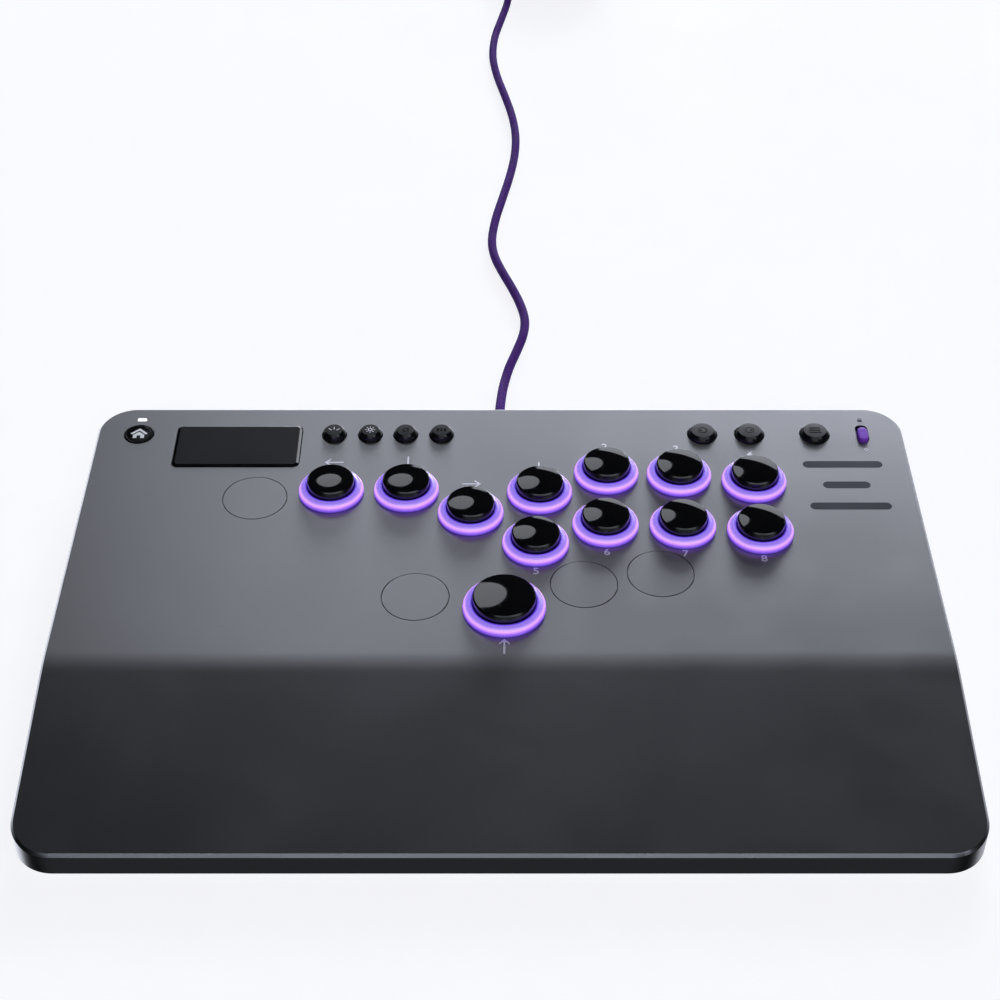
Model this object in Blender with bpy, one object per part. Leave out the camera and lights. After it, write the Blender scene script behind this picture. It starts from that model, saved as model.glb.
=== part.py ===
"""All-button arcade controller panel, built the way the real one comes apart.

A folded aluminium case carries twelve lit push buttons, four blanking plugs, a touchpad,
a row of function buttons and a lock slider. Two circuit boards hang inside over a steel
bottom plate, and a braided cord plugs into the rear wall.

Frame: origin on the table under the middle of the case, +X to the player's right,
+Y to the rear, +Z up. Lengths are in metres.
"""
from math import atan2, cos, pi, radians, sin, sqrt, tan

import bmesh
import bpy
from mathutils import Matrix, Vector

MM = 0.001
GAP = 0.3 * MM
OVERCUT = 1.0 * MM

# Case envelope
WIDTH = 401 * MM
DEPTH = 276.4 * MM
DATUM_Y = 136.5 * MM
FOOT_HEIGHT = 1.2 * MM
PANEL_Z = 24.7 * MM
FRONT_CORNER_RADIUS = 18.4 * MM
REAR_CORNER_RADIUS = 18.2 * MM
CORNER_STEPS = 6
WALL = 2.2 * MM
PANEL_THICKNESS = 2.0 * MM
EDGE_CHAMFER = 1.15 * MM
PANEL_UNDERSIDE = PANEL_Z - PANEL_THICKNESS

# Fold between the flat button deck and the sloping palm rest
PALM_SLOPE = radians(7.1)
BEND_Y = DATUM_Y - 176.8 * MM
BEND_RADIUS = 97 * MM
BEND_STEPS = 4

# Bottom plate, feet, boards and fixings
PLATE_THICKNESS = 2.0 * MM
PLATE_TOP = FOOT_HEIGHT + PLATE_THICKNESS
FOOT_STRIP_SIZE = (320 * MM, 14 * MM)
FOOT_STRIP_CORNER = 6.5 * MM
FOOT_STRIPS = {"foot_strip_front": -94 * MM, "foot_strip_rear": 112 * MM}
BOARD_THICKNESS = 1.6 * MM
MAIN_BOARD_CENTRE = (20 * MM, 35 * MM)
MAIN_BOARD_SIZE = (260 * MM, 130 * MM)
MAIN_BOARD_CORNER = 4 * MM
FUNCTION_BOARD_CENTRE = (0, 117 * MM)
FUNCTION_BOARD_SIZE = (372 * MM, 26 * MM)
FUNCTION_BOARD_CORNER = 9 * MM
MAIN_BOARD_Z = 7.0 * MM
MAIN_BOARD_TOP = MAIN_BOARD_Z + BOARD_THICKNESS
FUNCTION_BOARD_Z = 11.0 * MM
FUNCTION_BOARD_TOP = FUNCTION_BOARD_Z + BOARD_THICKNESS
BOSS_RADIUS = 3.5 * MM
PILOT_RADIUS = 1.45 * MM
SCREW_RADIUS = 1.15 * MM
SCREW_HEAD_RADIUS = 2.8 * MM
SCREW_HEAD_RECESS = 1.3 * MM
SCREW_SEGMENTS = 8
CASE_SCREW_TIP = 10.3 * MM
CASE_PILOT_TOP = CASE_SCREW_TIP + 0.9 * MM
BOARD_SCREW_TIP = MAIN_BOARD_TOP + 7 * MM
BOARD_PILOT_TOP = MAIN_BOARD_TOP + 8 * MM
CASE_SCREWS = [(x * MM, y * MM) for x, y in
               [(-189, 92), (189, 92), (-189, -18), (189, -18), (-150, -118), (150, -118)]]
BOARD_SCREWS = [(x * MM, y * MM) for x, y in [(-98, 5), (138, -12), (21, 94)]]

# Push buttons: place as (x, distance from the datum line just inside the rear edge), so
# the distance grows towards the player
ROUND_SEGMENTS = 18
CAP_RISE = 8.3 * MM
SMALL_DOME_RADIUS = 73 * MM
JUMP_DOME_RADIUS = 101 * MM
CAP_CROWN_THICKNESS = 1.8 * MM
RING_RISE = 4.3 * MM
RING_WALL_RISE = 2.4 * MM
RING_SHOULDER = (0.9 * MM, 3.4 * MM)
RUNNING_GAP = 0.35 * MM
CAP_TRAVEL = 3.0 * MM
CAP_EDGE = 0.7 * MM
CAP_WALL = 1.5 * MM
STEM_RADIUS = 3.0 * MM
STEM_BOTTOM = 14.2 * MM
SKIRT_BOTTOM = PANEL_UNDERSIDE - 0.5 * MM
SWITCH_SIZE = 14 * MM
SWITCH_TOP = 15.9 * MM
SMALL_CAP_RADIUS = 11.2 * MM
SMALL_RING_RADIUS = 15.65 * MM
JUMP_CAP_RADIUS = 14.25 * MM
JUMP_RING_RADIUS = 18.85 * MM
RING_LIP = 0.5 * MM

BUTTONS = {
    "left": (-81.1, 63.0),
    "down": (-45.0, 62.6),
    "right": (-13.9, 79.3),
    "jump": (1.9, 143.6),
    "action_1": (19.0, 64.1),
    "action_2": (51.6, 49.8),
    "action_3": (86.8, 51.3),
    "action_4": (122.8, 55.9),
    "action_5": (16.6, 100.6),
    "action_6": (49.7, 87.6),
    "action_7": (86.1, 88.5),
    "action_8": (122.3, 92.0),
}
BLANKS = {
    "1": (-117.5, 67.6),
    "2": (-38.4, 136.0),
    "3": (38.3, 127.8),
    "4": (73.7, 120.7),
}
BLANK_RADIUS = SMALL_RING_RADIUS - RING_LIP
BLANK_WALL = 1.6 * MM
BLANK_FLANGE_RADIUS = 17 * MM
BLANK_FLANGE_THICKNESS = 1.5 * MM

# Function buttons along the rear edge
SMALL_FUNCTIONS = {"light": -82.4, "profile": -64.5, "mute": -46.9, "share": -29.1}
LARGE_FUNCTIONS = {"stick_left": 100.7, "stick_right": 124.1, "menu": 156.6}
SMALL_FUNCTION_D = 19.6
LARGE_FUNCTION_D = 18.6
SMALL_KEY = {"base": 6.2 * MM, "top": 4.5 * MM, "rise": 3.4 * MM, "waist": 0.4 * MM}
LARGE_KEY = {"base": 7.4 * MM, "top": 5.8 * MM, "rise": 2.8 * MM, "waist": 0.4 * MM}
HOME_KEY = {"base": 7.2 * MM, "top": 6.8 * MM, "rise": 0.4 * MM, "waist": 0.0}
KEY_SEGMENTS = 14
FLANGE_TOP = PANEL_UNDERSIDE - GAP
FLANGE_THICKNESS = 1.2 * MM
FLANGE_LOW = FLANGE_TOP - FLANGE_THICKNESS
FLANGE_WIDTH = 1.2 * MM
POST_RADIUS = 1.6 * MM
FUNCTION_TRAVEL = 0.8 * MM
TACT_SIZE = 6 * MM
TACT_HEIGHT = 3.5 * MM
POST_BOTTOM = FUNCTION_BOARD_TOP + TACT_HEIGHT + FUNCTION_TRAVEL + GAP

HOME_PLACE = (-179.7, 19.0)
LED_PLACE = (-179.7, 7.3)
LED_SIZE = (4.5 * MM, 2.1 * MM)
LED_CORNER = 0.6 * MM

TOUCHPAD_PLACE = (-129.55, 28.6)
TOUCHPAD_SIZE = (62.0 * MM, 31.7 * MM)
TOUCHPAD_CORNER = 3.0 * MM
TOUCHPAD_RISE = 0.8 * MM
TOUCHPAD_BEVEL = 1.3 * MM

SLIDER_PLACE = (180.4, 20.4)
SLIDER_SIZE = (5.0 * MM, 9.6 * MM)
SLIDER_CORNER = SLIDER_SIZE[0] / 2 - 0.1 * MM
SLIDER_RISE = 1.9 * MM
SLIDER_TRAVEL = 3.2 * MM
SLIDER_PLAY = 0.5 * MM
SLIDER_GROOVES = [-2.2 * MM, 0.0, 2.2 * MM]
SLIDE_SWITCH_HEIGHT = 3.0 * MM

# Cord, its plugs and its socket
PLUG_Z = 8.7 * MM
PLUG_SIZE = (12.0 * MM, 17.0 * MM, 6.5 * MM)
PLUG_TIP = (8.3 * MM, 6.5 * MM, 2.4 * MM)
PLUG_START_Y = 124.7 * MM
SOCKET_DEPTH = 8.5 * MM
SOCKET_SHELL = 0.5 * MM
FAR_PLUG_SIZE = (15.5 * MM, 24.0 * MM, 8.0 * MM)
FAR_PLUG_TIP = (12.0 * MM, 18.5 * MM, 4.5 * MM)
RELIEF_LENGTH = 8.5 * MM
RELIEF_RADII = (3.3 * MM, 2.9 * MM)
RELIEF_SEGMENTS = 10
CORD_RADIUS = 2.5 * MM
CORD_DIAMETER = 2 * CORD_RADIUS
COIL_CENTRE = Vector((42 * MM, 680 * MM, 0))
COIL_COLUMNS = 4
COIL_LAYERS = 4
COIL_INNER_TURN = 20 * MM
COIL_INNER = COIL_INNER_TURN - CORD_RADIUS
COIL_OUTER = COIL_INNER + COIL_COLUMNS * CORD_DIAMETER
COIL_HEIGHT = COIL_LAYERS * CORD_DIAMETER
COIL_SEGMENTS = 24
TAIL_RADIUS = COIL_OUTER + CORD_RADIUS + 0.6 * MM
TAIL_STRAIGHT = 14 * MM
TAIL_DESCENT = [(172, 14.5), (150, 10.5), (128, 6.5), (108, 4.3), (90, 4.5)]

# The run of cord from the rear plug to the coil, as points (x, y, z) in millimetres
CORD_ROUTE = [
    (0, 150.5, 8.7), (0, 158, 8.4), (0.5, 168, 6.4), (1.8, 184, 3.2), (4.8, 201, 2.6),
    (9.2, 217, 2.6), (12.8, 232, 2.6), (13.7, 246, 2.6), (11.2, 261, 2.6), (6.6, 277, 2.6),
    (1.2, 293, 2.6), (-3.2, 309, 2.6), (-4.7, 326, 2.6), (-2.6, 348, 2.6), (1.5, 371, 2.6),
    (6.1, 397, 2.6), (9.1, 421, 2.6), (9.8, 445, 2.6), (7.6, 470, 2.6), (3, 496, 2.6),
    (-2, 522, 2.6), (-4.8, 548, 2.6), (-3.6, 575, 2.6), (0.6, 600, 2.6), (4.8, 624, 2.6),
    (6.8, 646, 2.6), (7, 660.8, 2.6),
]
RUN_SPACING = 14 * MM
TAIL_SPACING = 10 * MM


# ---------------------------------------------------------------- scene helpers

def clear_scene():
    for thing in list(bpy.data.objects):
        bpy.data.objects.remove(thing, do_unlink=True)


def make_material(name, colour, roughness, metallic=0.0):
    material = bpy.data.materials.new(name)
    material.use_nodes = True
    shader = material.node_tree.nodes["Principled BSDF"]
    shader.inputs["Base Color"].default_value = (*colour, 1.0)
    shader.inputs["Roughness"].default_value = roughness
    shader.inputs["Metallic"].default_value = metallic
    return material


def mesh_object(name, bm, material, location=(0, 0, 0)):
    bmesh.ops.recalc_face_normals(bm, faces=bm.faces)
    mesh = bpy.data.meshes.new(name)
    bm.to_mesh(mesh)
    bm.free()
    mesh.shade_smooth()
    mesh.set_sharp_from_angle(angle=radians(30))
    if material:
        mesh.materials.append(material)
    thing = bpy.data.objects.new(name, mesh)
    thing.location = location
    bpy.context.collection.objects.link(thing)
    return thing


def boolean(target, name, bm, operation):
    """Cut bm from the target, or join it on, as a live modifier with a hidden tool object."""
    tool = mesh_object(name, bm, None, target.location)
    tool.hide_render = True
    tool.display_type = "WIRE"
    modifier = target.modifiers.new(name, "BOOLEAN")
    modifier.operation = operation
    modifier.solver = "EXACT"
    modifier.object = tool


# ---------------------------------------------------------------- shape helpers

def from_rear(place):
    """A place given as (x, distance from the datum line) in millimetres, in the case's frame."""
    x, distance = place
    return x * MM, DATUM_Y - distance * MM


def panel_height(y):
    """Height of the outer skin: flat deck, a rolled bend, then the palm rest's slope."""
    roll = BEND_RADIUS * tan(PALM_SLOPE / 2)
    start = BEND_Y + roll
    end = start - BEND_RADIUS * sin(PALM_SLOPE)
    if y >= start:
        return PANEL_Z
    if y >= end:
        return PANEL_Z - BEND_RADIUS + sqrt(BEND_RADIUS ** 2 - (start - y) ** 2)
    drop = BEND_RADIUS * (1 - cos(PALM_SLOPE))
    return PANEL_Z - drop - (end - y) * tan(PALM_SLOPE)


def arc(centre, radius, start, end, steps):
    cx, cy = centre
    angles = [start + (end - start) * i / steps for i in range(steps + 1)]
    return [(cx + radius * cos(a), cy + radius * sin(a)) for a in angles]


def right_side(inset):
    """Right half of the case outline, from the front edge round to the rear edge."""
    front = (WIDTH / 2 - FRONT_CORNER_RADIUS, -DEPTH / 2 + FRONT_CORNER_RADIUS)
    rear = (WIDTH / 2 - REAR_CORNER_RADIUS, DEPTH / 2 - REAR_CORNER_RADIUS)
    roll_start = BEND_Y + BEND_RADIUS * tan(PALM_SLOPE / 2)
    roll_width = BEND_RADIUS * sin(PALM_SLOPE)
    points = arc(front, FRONT_CORNER_RADIUS - inset, -pi / 2, 0, CORNER_STEPS)
    for i in range(BEND_STEPS + 1):
        y = roll_start - roll_width * (1 - i / BEND_STEPS)
        points.append((WIDTH / 2 - inset, y))
    points += arc(rear, REAR_CORNER_RADIUS - inset, 0, pi / 2, CORNER_STEPS)
    return points


def add_case_solid(bm, inset, z_low, drop, chamfer=0.0):
    """Closed solid under the outer skin: the case outline inset, its top lowered by drop."""
    levels = [(inset, None, 0.0), (inset, drop, chamfer)]
    if chamfer:
        levels.append((inset + chamfer, drop, 0.0))
    loops = []
    for level_inset, lowered, edge in levels:
        right = right_side(level_inset)
        left = [(-x, y) for x, y in reversed(right)]
        loop = []
        for x, y in right + left:
            z = z_low if lowered is None else panel_height(y) - lowered - edge
            loop.append(bm.verts.new((x, y, z)))
        loops.append(loop)
    count = len(loops[0])
    for lower, upper in zip(loops, loops[1:]):
        for i in range(count):
            j = (i + 1) % count
            bm.faces.new((lower[i], lower[j], upper[j], upper[i]))
    bm.faces.new(list(reversed(loops[0])))
    top = loops[-1]
    half = count // 2
    for i in range(half - 1):
        bm.faces.new((top[i], top[i + 1], top[count - 2 - i], top[count - 1 - i]))


def add_prism(bm, outline, z_low, z_high):
    low = [bm.verts.new((x, y, z_low)) for x, y in outline]
    high = [bm.verts.new((x, y, z_high)) for x, y in outline]
    count = len(outline)
    for i in range(count):
        j = (i + 1) % count
        bm.faces.new((low[i], low[j], high[j], high[i]))
    bm.faces.new(list(reversed(low)))
    bm.faces.new(high)


def rounded_rectangle(centre, size, radius, steps=4):
    cx, cy = centre
    half_x = size[0] / 2 - radius
    half_y = size[1] / 2 - radius
    corners = [(half_x, -half_y, -pi / 2), (half_x, half_y, 0),
               (-half_x, half_y, pi / 2), (-half_x, -half_y, pi)]
    points = []
    for dx, dy, start in corners:
        points += arc((cx + dx, cy + dy), radius, start, start + pi / 2, steps)
    return points


def add_box(bm, low, high):
    add_prism(bm, [(low[0], low[1]), (high[0], low[1]), (high[0], high[1]), (low[0], high[1])],
              low[2], high[2])


def add_cylinder(bm, centre, radius, z_low, z_high, segments=ROUND_SEGMENTS):
    circle = arc(centre, radius, 0, 2 * pi, segments)[:-1]
    add_prism(bm, circle, z_low, z_high)


def add_turned(bm, profile, segments, centre=(0, 0)):
    """Spin a profile of (radius, z) points round the vertical axis through centre."""
    axis = Vector((centre[0], centre[1], 0))
    rings = []
    for radius, z in profile:
        if radius == 0:
            rings.append([bm.verts.new(axis + Vector((0, 0, z)))])
            continue
        angles = [2 * pi * i / segments for i in range(segments)]
        rings.append([bm.verts.new(axis + Vector((radius * cos(a), radius * sin(a), z)))
                      for a in angles])
    closed = profile[0][0] != 0
    pairs = list(zip(rings, rings[1:]))
    if closed:
        pairs.append((rings[-1], rings[0]))
    for first, second in pairs:
        for i in range(segments):
            j = (i + 1) % segments
            corners = [first[i % len(first)], first[j % len(first)],
                       second[j % len(second)], second[i % len(second)]]
            unique = list(dict.fromkeys(corners))
            if len(unique) > 2:
                bm.faces.new(unique)


def turned(name, profile, material, location=(0, 0, 0), segments=ROUND_SEGMENTS):
    bm = bmesh.new()
    add_turned(bm, profile, segments)
    return mesh_object(name, bm, material, location)


# ---------------------------------------------------------------- case

def build_top_case(material):
    bm = bmesh.new()
    add_case_solid(bm, 0.0, FOOT_HEIGHT, 0.0, EDGE_CHAMFER)
    case = mesh_object("top_case", bm, material)

    hollow = bmesh.new()
    add_case_solid(hollow, WALL, 0.0, PANEL_THICKNESS)
    boolean(case, "case_hollow", hollow, "DIFFERENCE")

    bosses = bmesh.new()
    holes = bmesh.new()
    add_panel_holes(holes)
    into_panel = 1.0 * MM
    for screws, boss_low, pilot_top in ((CASE_SCREWS, PLATE_TOP + GAP, CASE_PILOT_TOP),
                                        (BOARD_SCREWS, MAIN_BOARD_TOP + GAP, BOARD_PILOT_TOP)):
        for x, y in screws:
            boss_top = panel_height(y) - into_panel
            add_cylinder(bosses, (x, y), BOSS_RADIUS, boss_low, boss_top, SCREW_SEGMENTS)
            add_cylinder(holes, (x, y), PILOT_RADIUS, boss_low - OVERCUT, pilot_top,
                         SCREW_SEGMENTS)
    boolean(case, "case_bosses", bosses, "UNION")

    window = PLUG_SIZE[0] / 2 + 0.4 * MM
    window_height = PLUG_SIZE[2] / 2 + 0.45 * MM
    add_box(holes, (-window, DEPTH / 2 - 2 * WALL, PLUG_Z - window_height),
            (window, DEPTH / 2 + WALL, PLUG_Z + window_height))
    boolean(case, "case_holes", holes, "DIFFERENCE")


def add_panel_holes(bm):
    low = PANEL_UNDERSIDE - OVERCUT
    high = PANEL_Z + OVERCUT
    for name, place in BUTTONS.items():
        ring = JUMP_RING_RADIUS if name == "jump" else SMALL_RING_RADIUS
        add_cylinder(bm, from_rear(place), ring - RING_LIP + GAP, low, high)
    for place in BLANKS.values():
        add_cylinder(bm, from_rear(place), BLANK_RADIUS + GAP, low, high)
    for x in SMALL_FUNCTIONS.values():
        add_cylinder(bm, from_rear((x, SMALL_FUNCTION_D)), SMALL_KEY["base"] + GAP, low, high)
    for x in LARGE_FUNCTIONS.values():
        add_cylinder(bm, from_rear((x, LARGE_FUNCTION_D)), LARGE_KEY["base"] + GAP, low, high)
    add_cylinder(bm, from_rear(HOME_PLACE), HOME_KEY["base"] + GAP, low, high)
    led = (LED_SIZE[0] + 2 * GAP, LED_SIZE[1] + 2 * GAP)
    add_prism(bm, rounded_rectangle(from_rear(LED_PLACE), led, LED_CORNER + GAP, 2), low, high)
    pad = (TOUCHPAD_SIZE[0] + 2 * GAP, TOUCHPAD_SIZE[1] + 2 * GAP)
    pad_corner = TOUCHPAD_CORNER + GAP
    add_prism(bm, rounded_rectangle(from_rear(TOUCHPAD_PLACE), pad, pad_corner), low, high)
    x, y = from_rear(SLIDER_PLACE)
    slot_size = (SLIDER_SIZE[0] + 2 * SLIDER_PLAY,
                 SLIDER_SIZE[1] + SLIDER_TRAVEL + 2 * SLIDER_PLAY)
    slot = rounded_rectangle((x, y + SLIDER_TRAVEL / 2), slot_size, SLIDER_CORNER + SLIDER_PLAY)
    add_prism(bm, slot, low, high)


def build_bottom_plate(material):
    bm = bmesh.new()
    inset = WALL + GAP
    right = right_side(inset)
    outline = right + [(-x, y) for x, y in reversed(right)]
    add_prism(bm, outline, FOOT_HEIGHT, PLATE_TOP)
    plate = mesh_object("bottom_plate", bm, material)
    holes = bmesh.new()
    recess_radius = SCREW_HEAD_RADIUS + GAP
    recess_top = FOOT_HEIGHT + SCREW_HEAD_RECESS
    high = PLATE_TOP + OVERCUT
    for centre in CASE_SCREWS:
        profile = [(0, 0.0), (recess_radius, 0.0), (recess_radius, recess_top),
                   (PILOT_RADIUS, recess_top), (PILOT_RADIUS, high), (0, high)]
        add_turned(holes, profile, SCREW_SEGMENTS, centre)
    boolean(plate, "plate_holes", holes, "DIFFERENCE")


def build_feet(material):
    """Two long rubber strips under the bottom plate, clear of its screws."""
    for name, y in FOOT_STRIPS.items():
        bm = bmesh.new()
        outline = rounded_rectangle((0, y), FOOT_STRIP_SIZE, FOOT_STRIP_CORNER)
        add_prism(bm, outline, 0.0, FOOT_HEIGHT - GAP)
        mesh_object(name, bm, material)


def build_screws(material):
    head_low = FOOT_HEIGHT + 0.1 * MM
    head_high = FOOT_HEIGHT + 1.0 * MM
    for number, (x, y) in enumerate(CASE_SCREWS, 1):
        turned(f"case_screw_{number}", screw_profile(head_low, head_high, CASE_SCREW_TIP),
               material, (x, y, 0), SCREW_SEGMENTS)
    head_high = MAIN_BOARD_Z - GAP
    head_low = head_high - 1.5 * MM
    for number, (x, y) in enumerate(BOARD_SCREWS, 1):
        turned(f"board_screw_{number}", screw_profile(head_low, head_high, BOARD_SCREW_TIP),
               material, (x, y, 0), SCREW_SEGMENTS)


def screw_profile(head_low, head_high, tip):
    """Low round head with a driver recess, a plain shank and a short point."""
    recess = 1.2 * MM
    depth = 0.5 * MM
    return [(0, head_low + depth), (recess, head_low + depth), (recess, head_low),
            (SCREW_HEAD_RADIUS, head_low), (SCREW_HEAD_RADIUS, head_high),
            (SCREW_RADIUS, head_high), (SCREW_RADIUS, tip - SCREW_RADIUS), (0, tip)]


# ---------------------------------------------------------------- boards

def build_main_board(material):
    """Circuit board with its twelve soldered switch bodies, each bored for a button stem."""
    bm = bmesh.new()
    outline = rounded_rectangle(MAIN_BOARD_CENTRE, MAIN_BOARD_SIZE, MAIN_BOARD_CORNER, 2)
    add_prism(bm, outline, MAIN_BOARD_Z, MAIN_BOARD_TOP)
    board = mesh_object("main_board", bm, material)
    switches = bmesh.new()
    buried = MAIN_BOARD_TOP - BOARD_THICKNESS / 2
    size = (SWITCH_SIZE, SWITCH_SIZE)
    for place in BUTTONS.values():
        body = rounded_rectangle(from_rear(place), size, 1 * MM, 1)
        add_prism(switches, body, buried, SWITCH_TOP)
    boolean(board, "switch_bodies", switches, "UNION")
    bores = bmesh.new()
    bore_floor = STEM_BOTTOM - CAP_TRAVEL - 1.0 * MM
    for place in BUTTONS.values():
        add_cylinder(bores, from_rear(place), STEM_RADIUS + GAP, bore_floor,
                     SWITCH_TOP + OVERCUT)
    for centre in BOARD_SCREWS:
        add_cylinder(bores, centre, PILOT_RADIUS, 0, MAIN_BOARD_TOP + OVERCUT, SCREW_SEGMENTS)
    boolean(board, "switch_bores", bores, "DIFFERENCE")


def build_function_board(material):
    """Narrow board under the rear edge, with a small switch below every function button."""
    bm = bmesh.new()
    outline = rounded_rectangle(FUNCTION_BOARD_CENTRE, FUNCTION_BOARD_SIZE,
                                FUNCTION_BOARD_CORNER, 3)
    add_prism(bm, outline, FUNCTION_BOARD_Z, FUNCTION_BOARD_TOP)
    board = mesh_object("function_board", bm, material)
    parts = bmesh.new()
    places = [(x, SMALL_FUNCTION_D) for x in SMALL_FUNCTIONS.values()]
    places += [(x, LARGE_FUNCTION_D) for x in LARGE_FUNCTIONS.values()]
    places += [HOME_PLACE, TOUCHPAD_PLACE]
    buried = FUNCTION_BOARD_TOP - BOARD_THICKNESS / 2
    half = TACT_SIZE / 2
    for place in places:
        x, y = from_rear(place)
        add_box(parts, (x - half, y - half, buried),
                (x + half, y + half, FUNCTION_BOARD_TOP + TACT_HEIGHT))
    x, y = from_rear(SLIDER_PLACE)
    add_box(parts, (x - 4 * MM, y - 5 * MM, buried),
            (x + 4 * MM, y + 8 * MM, FUNCTION_BOARD_TOP + SLIDE_SWITCH_HEIGHT))
    boolean(board, "function_switches", parts, "UNION")
    notch = bmesh.new()
    half = PLUG_SIZE[0] / 2 + GAP
    add_box(notch, (-half, PLUG_START_Y - GAP, FUNCTION_BOARD_Z - OVERCUT),
            (half, DEPTH / 2, FUNCTION_BOARD_TOP + OVERCUT))
    boolean(board, "plug_notch", notch, "DIFFERENCE")


# ---------------------------------------------------------------- push buttons

def cap_profile(radius, dome_radius):
    """Domed cap with a hollow skirt and the stem that runs in the switch."""
    edge = radius - CAP_EDGE
    edge_z = PANEL_Z + CAP_RISE
    sphere_z = edge_z - sqrt(dome_radius ** 2 - edge ** 2)
    middle_z = sphere_z + sqrt(dome_radius ** 2 - (edge / 2) ** 2)
    under = edge_z - CAP_CROWN_THICKNESS
    inner = radius - CAP_WALL
    return [(0, sphere_z + dome_radius), (edge / 2, middle_z), (edge, edge_z),
            (radius, edge_z - CAP_EDGE), (radius, SKIRT_BOTTOM), (inner, SKIRT_BOTTOM),
            (inner, under), (STEM_RADIUS, under), (STEM_RADIUS, STEM_BOTTOM), (0, STEM_BOTTOM)]


def ring_profile(ring_radius, bore_radius):
    """Lit ring: a shouldered lip over the panel and a light guide down to the board."""
    neck = ring_radius - RING_LIP
    foot = MAIN_BOARD_TOP + GAP
    inward, shoulder_rise = RING_SHOULDER
    return [(neck, foot), (neck, PANEL_Z + GAP), (ring_radius, PANEL_Z + GAP),
            (ring_radius, PANEL_Z + RING_WALL_RISE),
            (ring_radius - inward, PANEL_Z + shoulder_rise),
            (bore_radius, PANEL_Z + RING_RISE), (bore_radius, foot)]


def build_buttons(cap_material, ring_material):
    for name, place in BUTTONS.items():
        big = name == "jump"
        cap_radius = JUMP_CAP_RADIUS if big else SMALL_CAP_RADIUS
        dome_radius = JUMP_DOME_RADIUS if big else SMALL_DOME_RADIUS
        ring_radius = JUMP_RING_RADIUS if big else SMALL_RING_RADIUS
        location = (*from_rear(place), 0)
        turned(f"cap_{name}", cap_profile(cap_radius, dome_radius), cap_material, location)
        turned(f"ring_{name}", ring_profile(ring_radius, cap_radius + RUNNING_GAP),
               ring_material, location)


def build_blanks(material):
    """Flush discs that fill the unused button holes, each with a flange under the panel."""
    flange_low = FLANGE_TOP - BLANK_FLANGE_THICKNESS
    cup = BLANK_RADIUS - BLANK_WALL
    profile = [(0, PANEL_Z), (BLANK_RADIUS, PANEL_Z), (BLANK_RADIUS, FLANGE_TOP),
               (BLANK_FLANGE_RADIUS, FLANGE_TOP), (BLANK_FLANGE_RADIUS, flange_low),
               (cup, flange_low), (cup, PANEL_UNDERSIDE), (0, PANEL_UNDERSIDE)]
    for number, place in BLANKS.items():
        turned(f"blank_plug_{number}", profile, material, (*from_rear(place), 0))


# ---------------------------------------------------------------- function controls

def key_profile(base, top, rise, waist):
    """Round key: tapered crown over the panel, a retaining flange and an actuator post."""
    flange = base + FLANGE_WIDTH
    return [(0, PANEL_Z + rise), (top, PANEL_Z + rise), (base, PANEL_Z + waist),
            (base, FLANGE_TOP), (flange, FLANGE_TOP), (flange, FLANGE_LOW),
            (POST_RADIUS, FLANGE_LOW), (POST_RADIUS, POST_BOTTOM), (0, POST_BOTTOM)]


def build_keys(material, home_material):
    keys = [(name, (x, SMALL_FUNCTION_D), SMALL_KEY, material)
            for name, x in SMALL_FUNCTIONS.items()]
    keys += [(name, (x, LARGE_FUNCTION_D), LARGE_KEY, material)
             for name, x in LARGE_FUNCTIONS.items()]
    keys.append(("home", HOME_PLACE, HOME_KEY, home_material))
    for name, place, shape, finish in keys:
        turned(f"key_{name}", key_profile(**shape), finish, (*from_rear(place), 0),
               KEY_SEGMENTS)


def build_touchpad(material):
    centre = from_rear(TOUCHPAD_PLACE)
    bevel = 2 * TOUCHPAD_BEVEL
    bm = bmesh.new()
    wide = rounded_rectangle((0, 0), TOUCHPAD_SIZE, TOUCHPAD_CORNER)
    inner = rounded_rectangle((0, 0), (TOUCHPAD_SIZE[0] - bevel, TOUCHPAD_SIZE[1] - bevel),
                              TOUCHPAD_CORNER - TOUCHPAD_BEVEL)
    flange_size = (TOUCHPAD_SIZE[0] + 2 * MM, TOUCHPAD_SIZE[1] + 2 * MM)
    flange = rounded_rectangle((0, 0), flange_size, TOUCHPAD_CORNER + 1 * MM)
    loops = [(flange, FLANGE_LOW), (flange, FLANGE_TOP), (wide, FLANGE_TOP), (wide, PANEL_Z),
             (inner, PANEL_Z + TOUCHPAD_RISE)]
    rings = [[bm.verts.new((x, y, z)) for x, y in outline] for outline, z in loops]
    count = len(wide)
    for lower, upper in zip(rings, rings[1:]):
        for i in range(count):
            j = (i + 1) % count
            bm.faces.new((lower[i], lower[j], upper[j], upper[i]))
    bm.faces.new(list(reversed(rings[0])))
    bm.faces.new(rings[-1])
    pad = mesh_object("touchpad", bm, material, (*centre, 0))
    post = bmesh.new()
    add_cylinder(post, (0, 0), POST_RADIUS, POST_BOTTOM, FLANGE_LOW + FLANGE_THICKNESS / 2,
                 SCREW_SEGMENTS)
    boolean(pad, "touchpad_post", post, "UNION")


def build_light_pipe(material):
    centre = from_rear(LED_PLACE)
    bm = bmesh.new()
    add_prism(bm, rounded_rectangle((0, 0), LED_SIZE, LED_CORNER, 2),
              FUNCTION_BOARD_TOP + GAP, PANEL_Z)
    mesh_object("light_pipe", bm, material, (*centre, 0))


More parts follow.
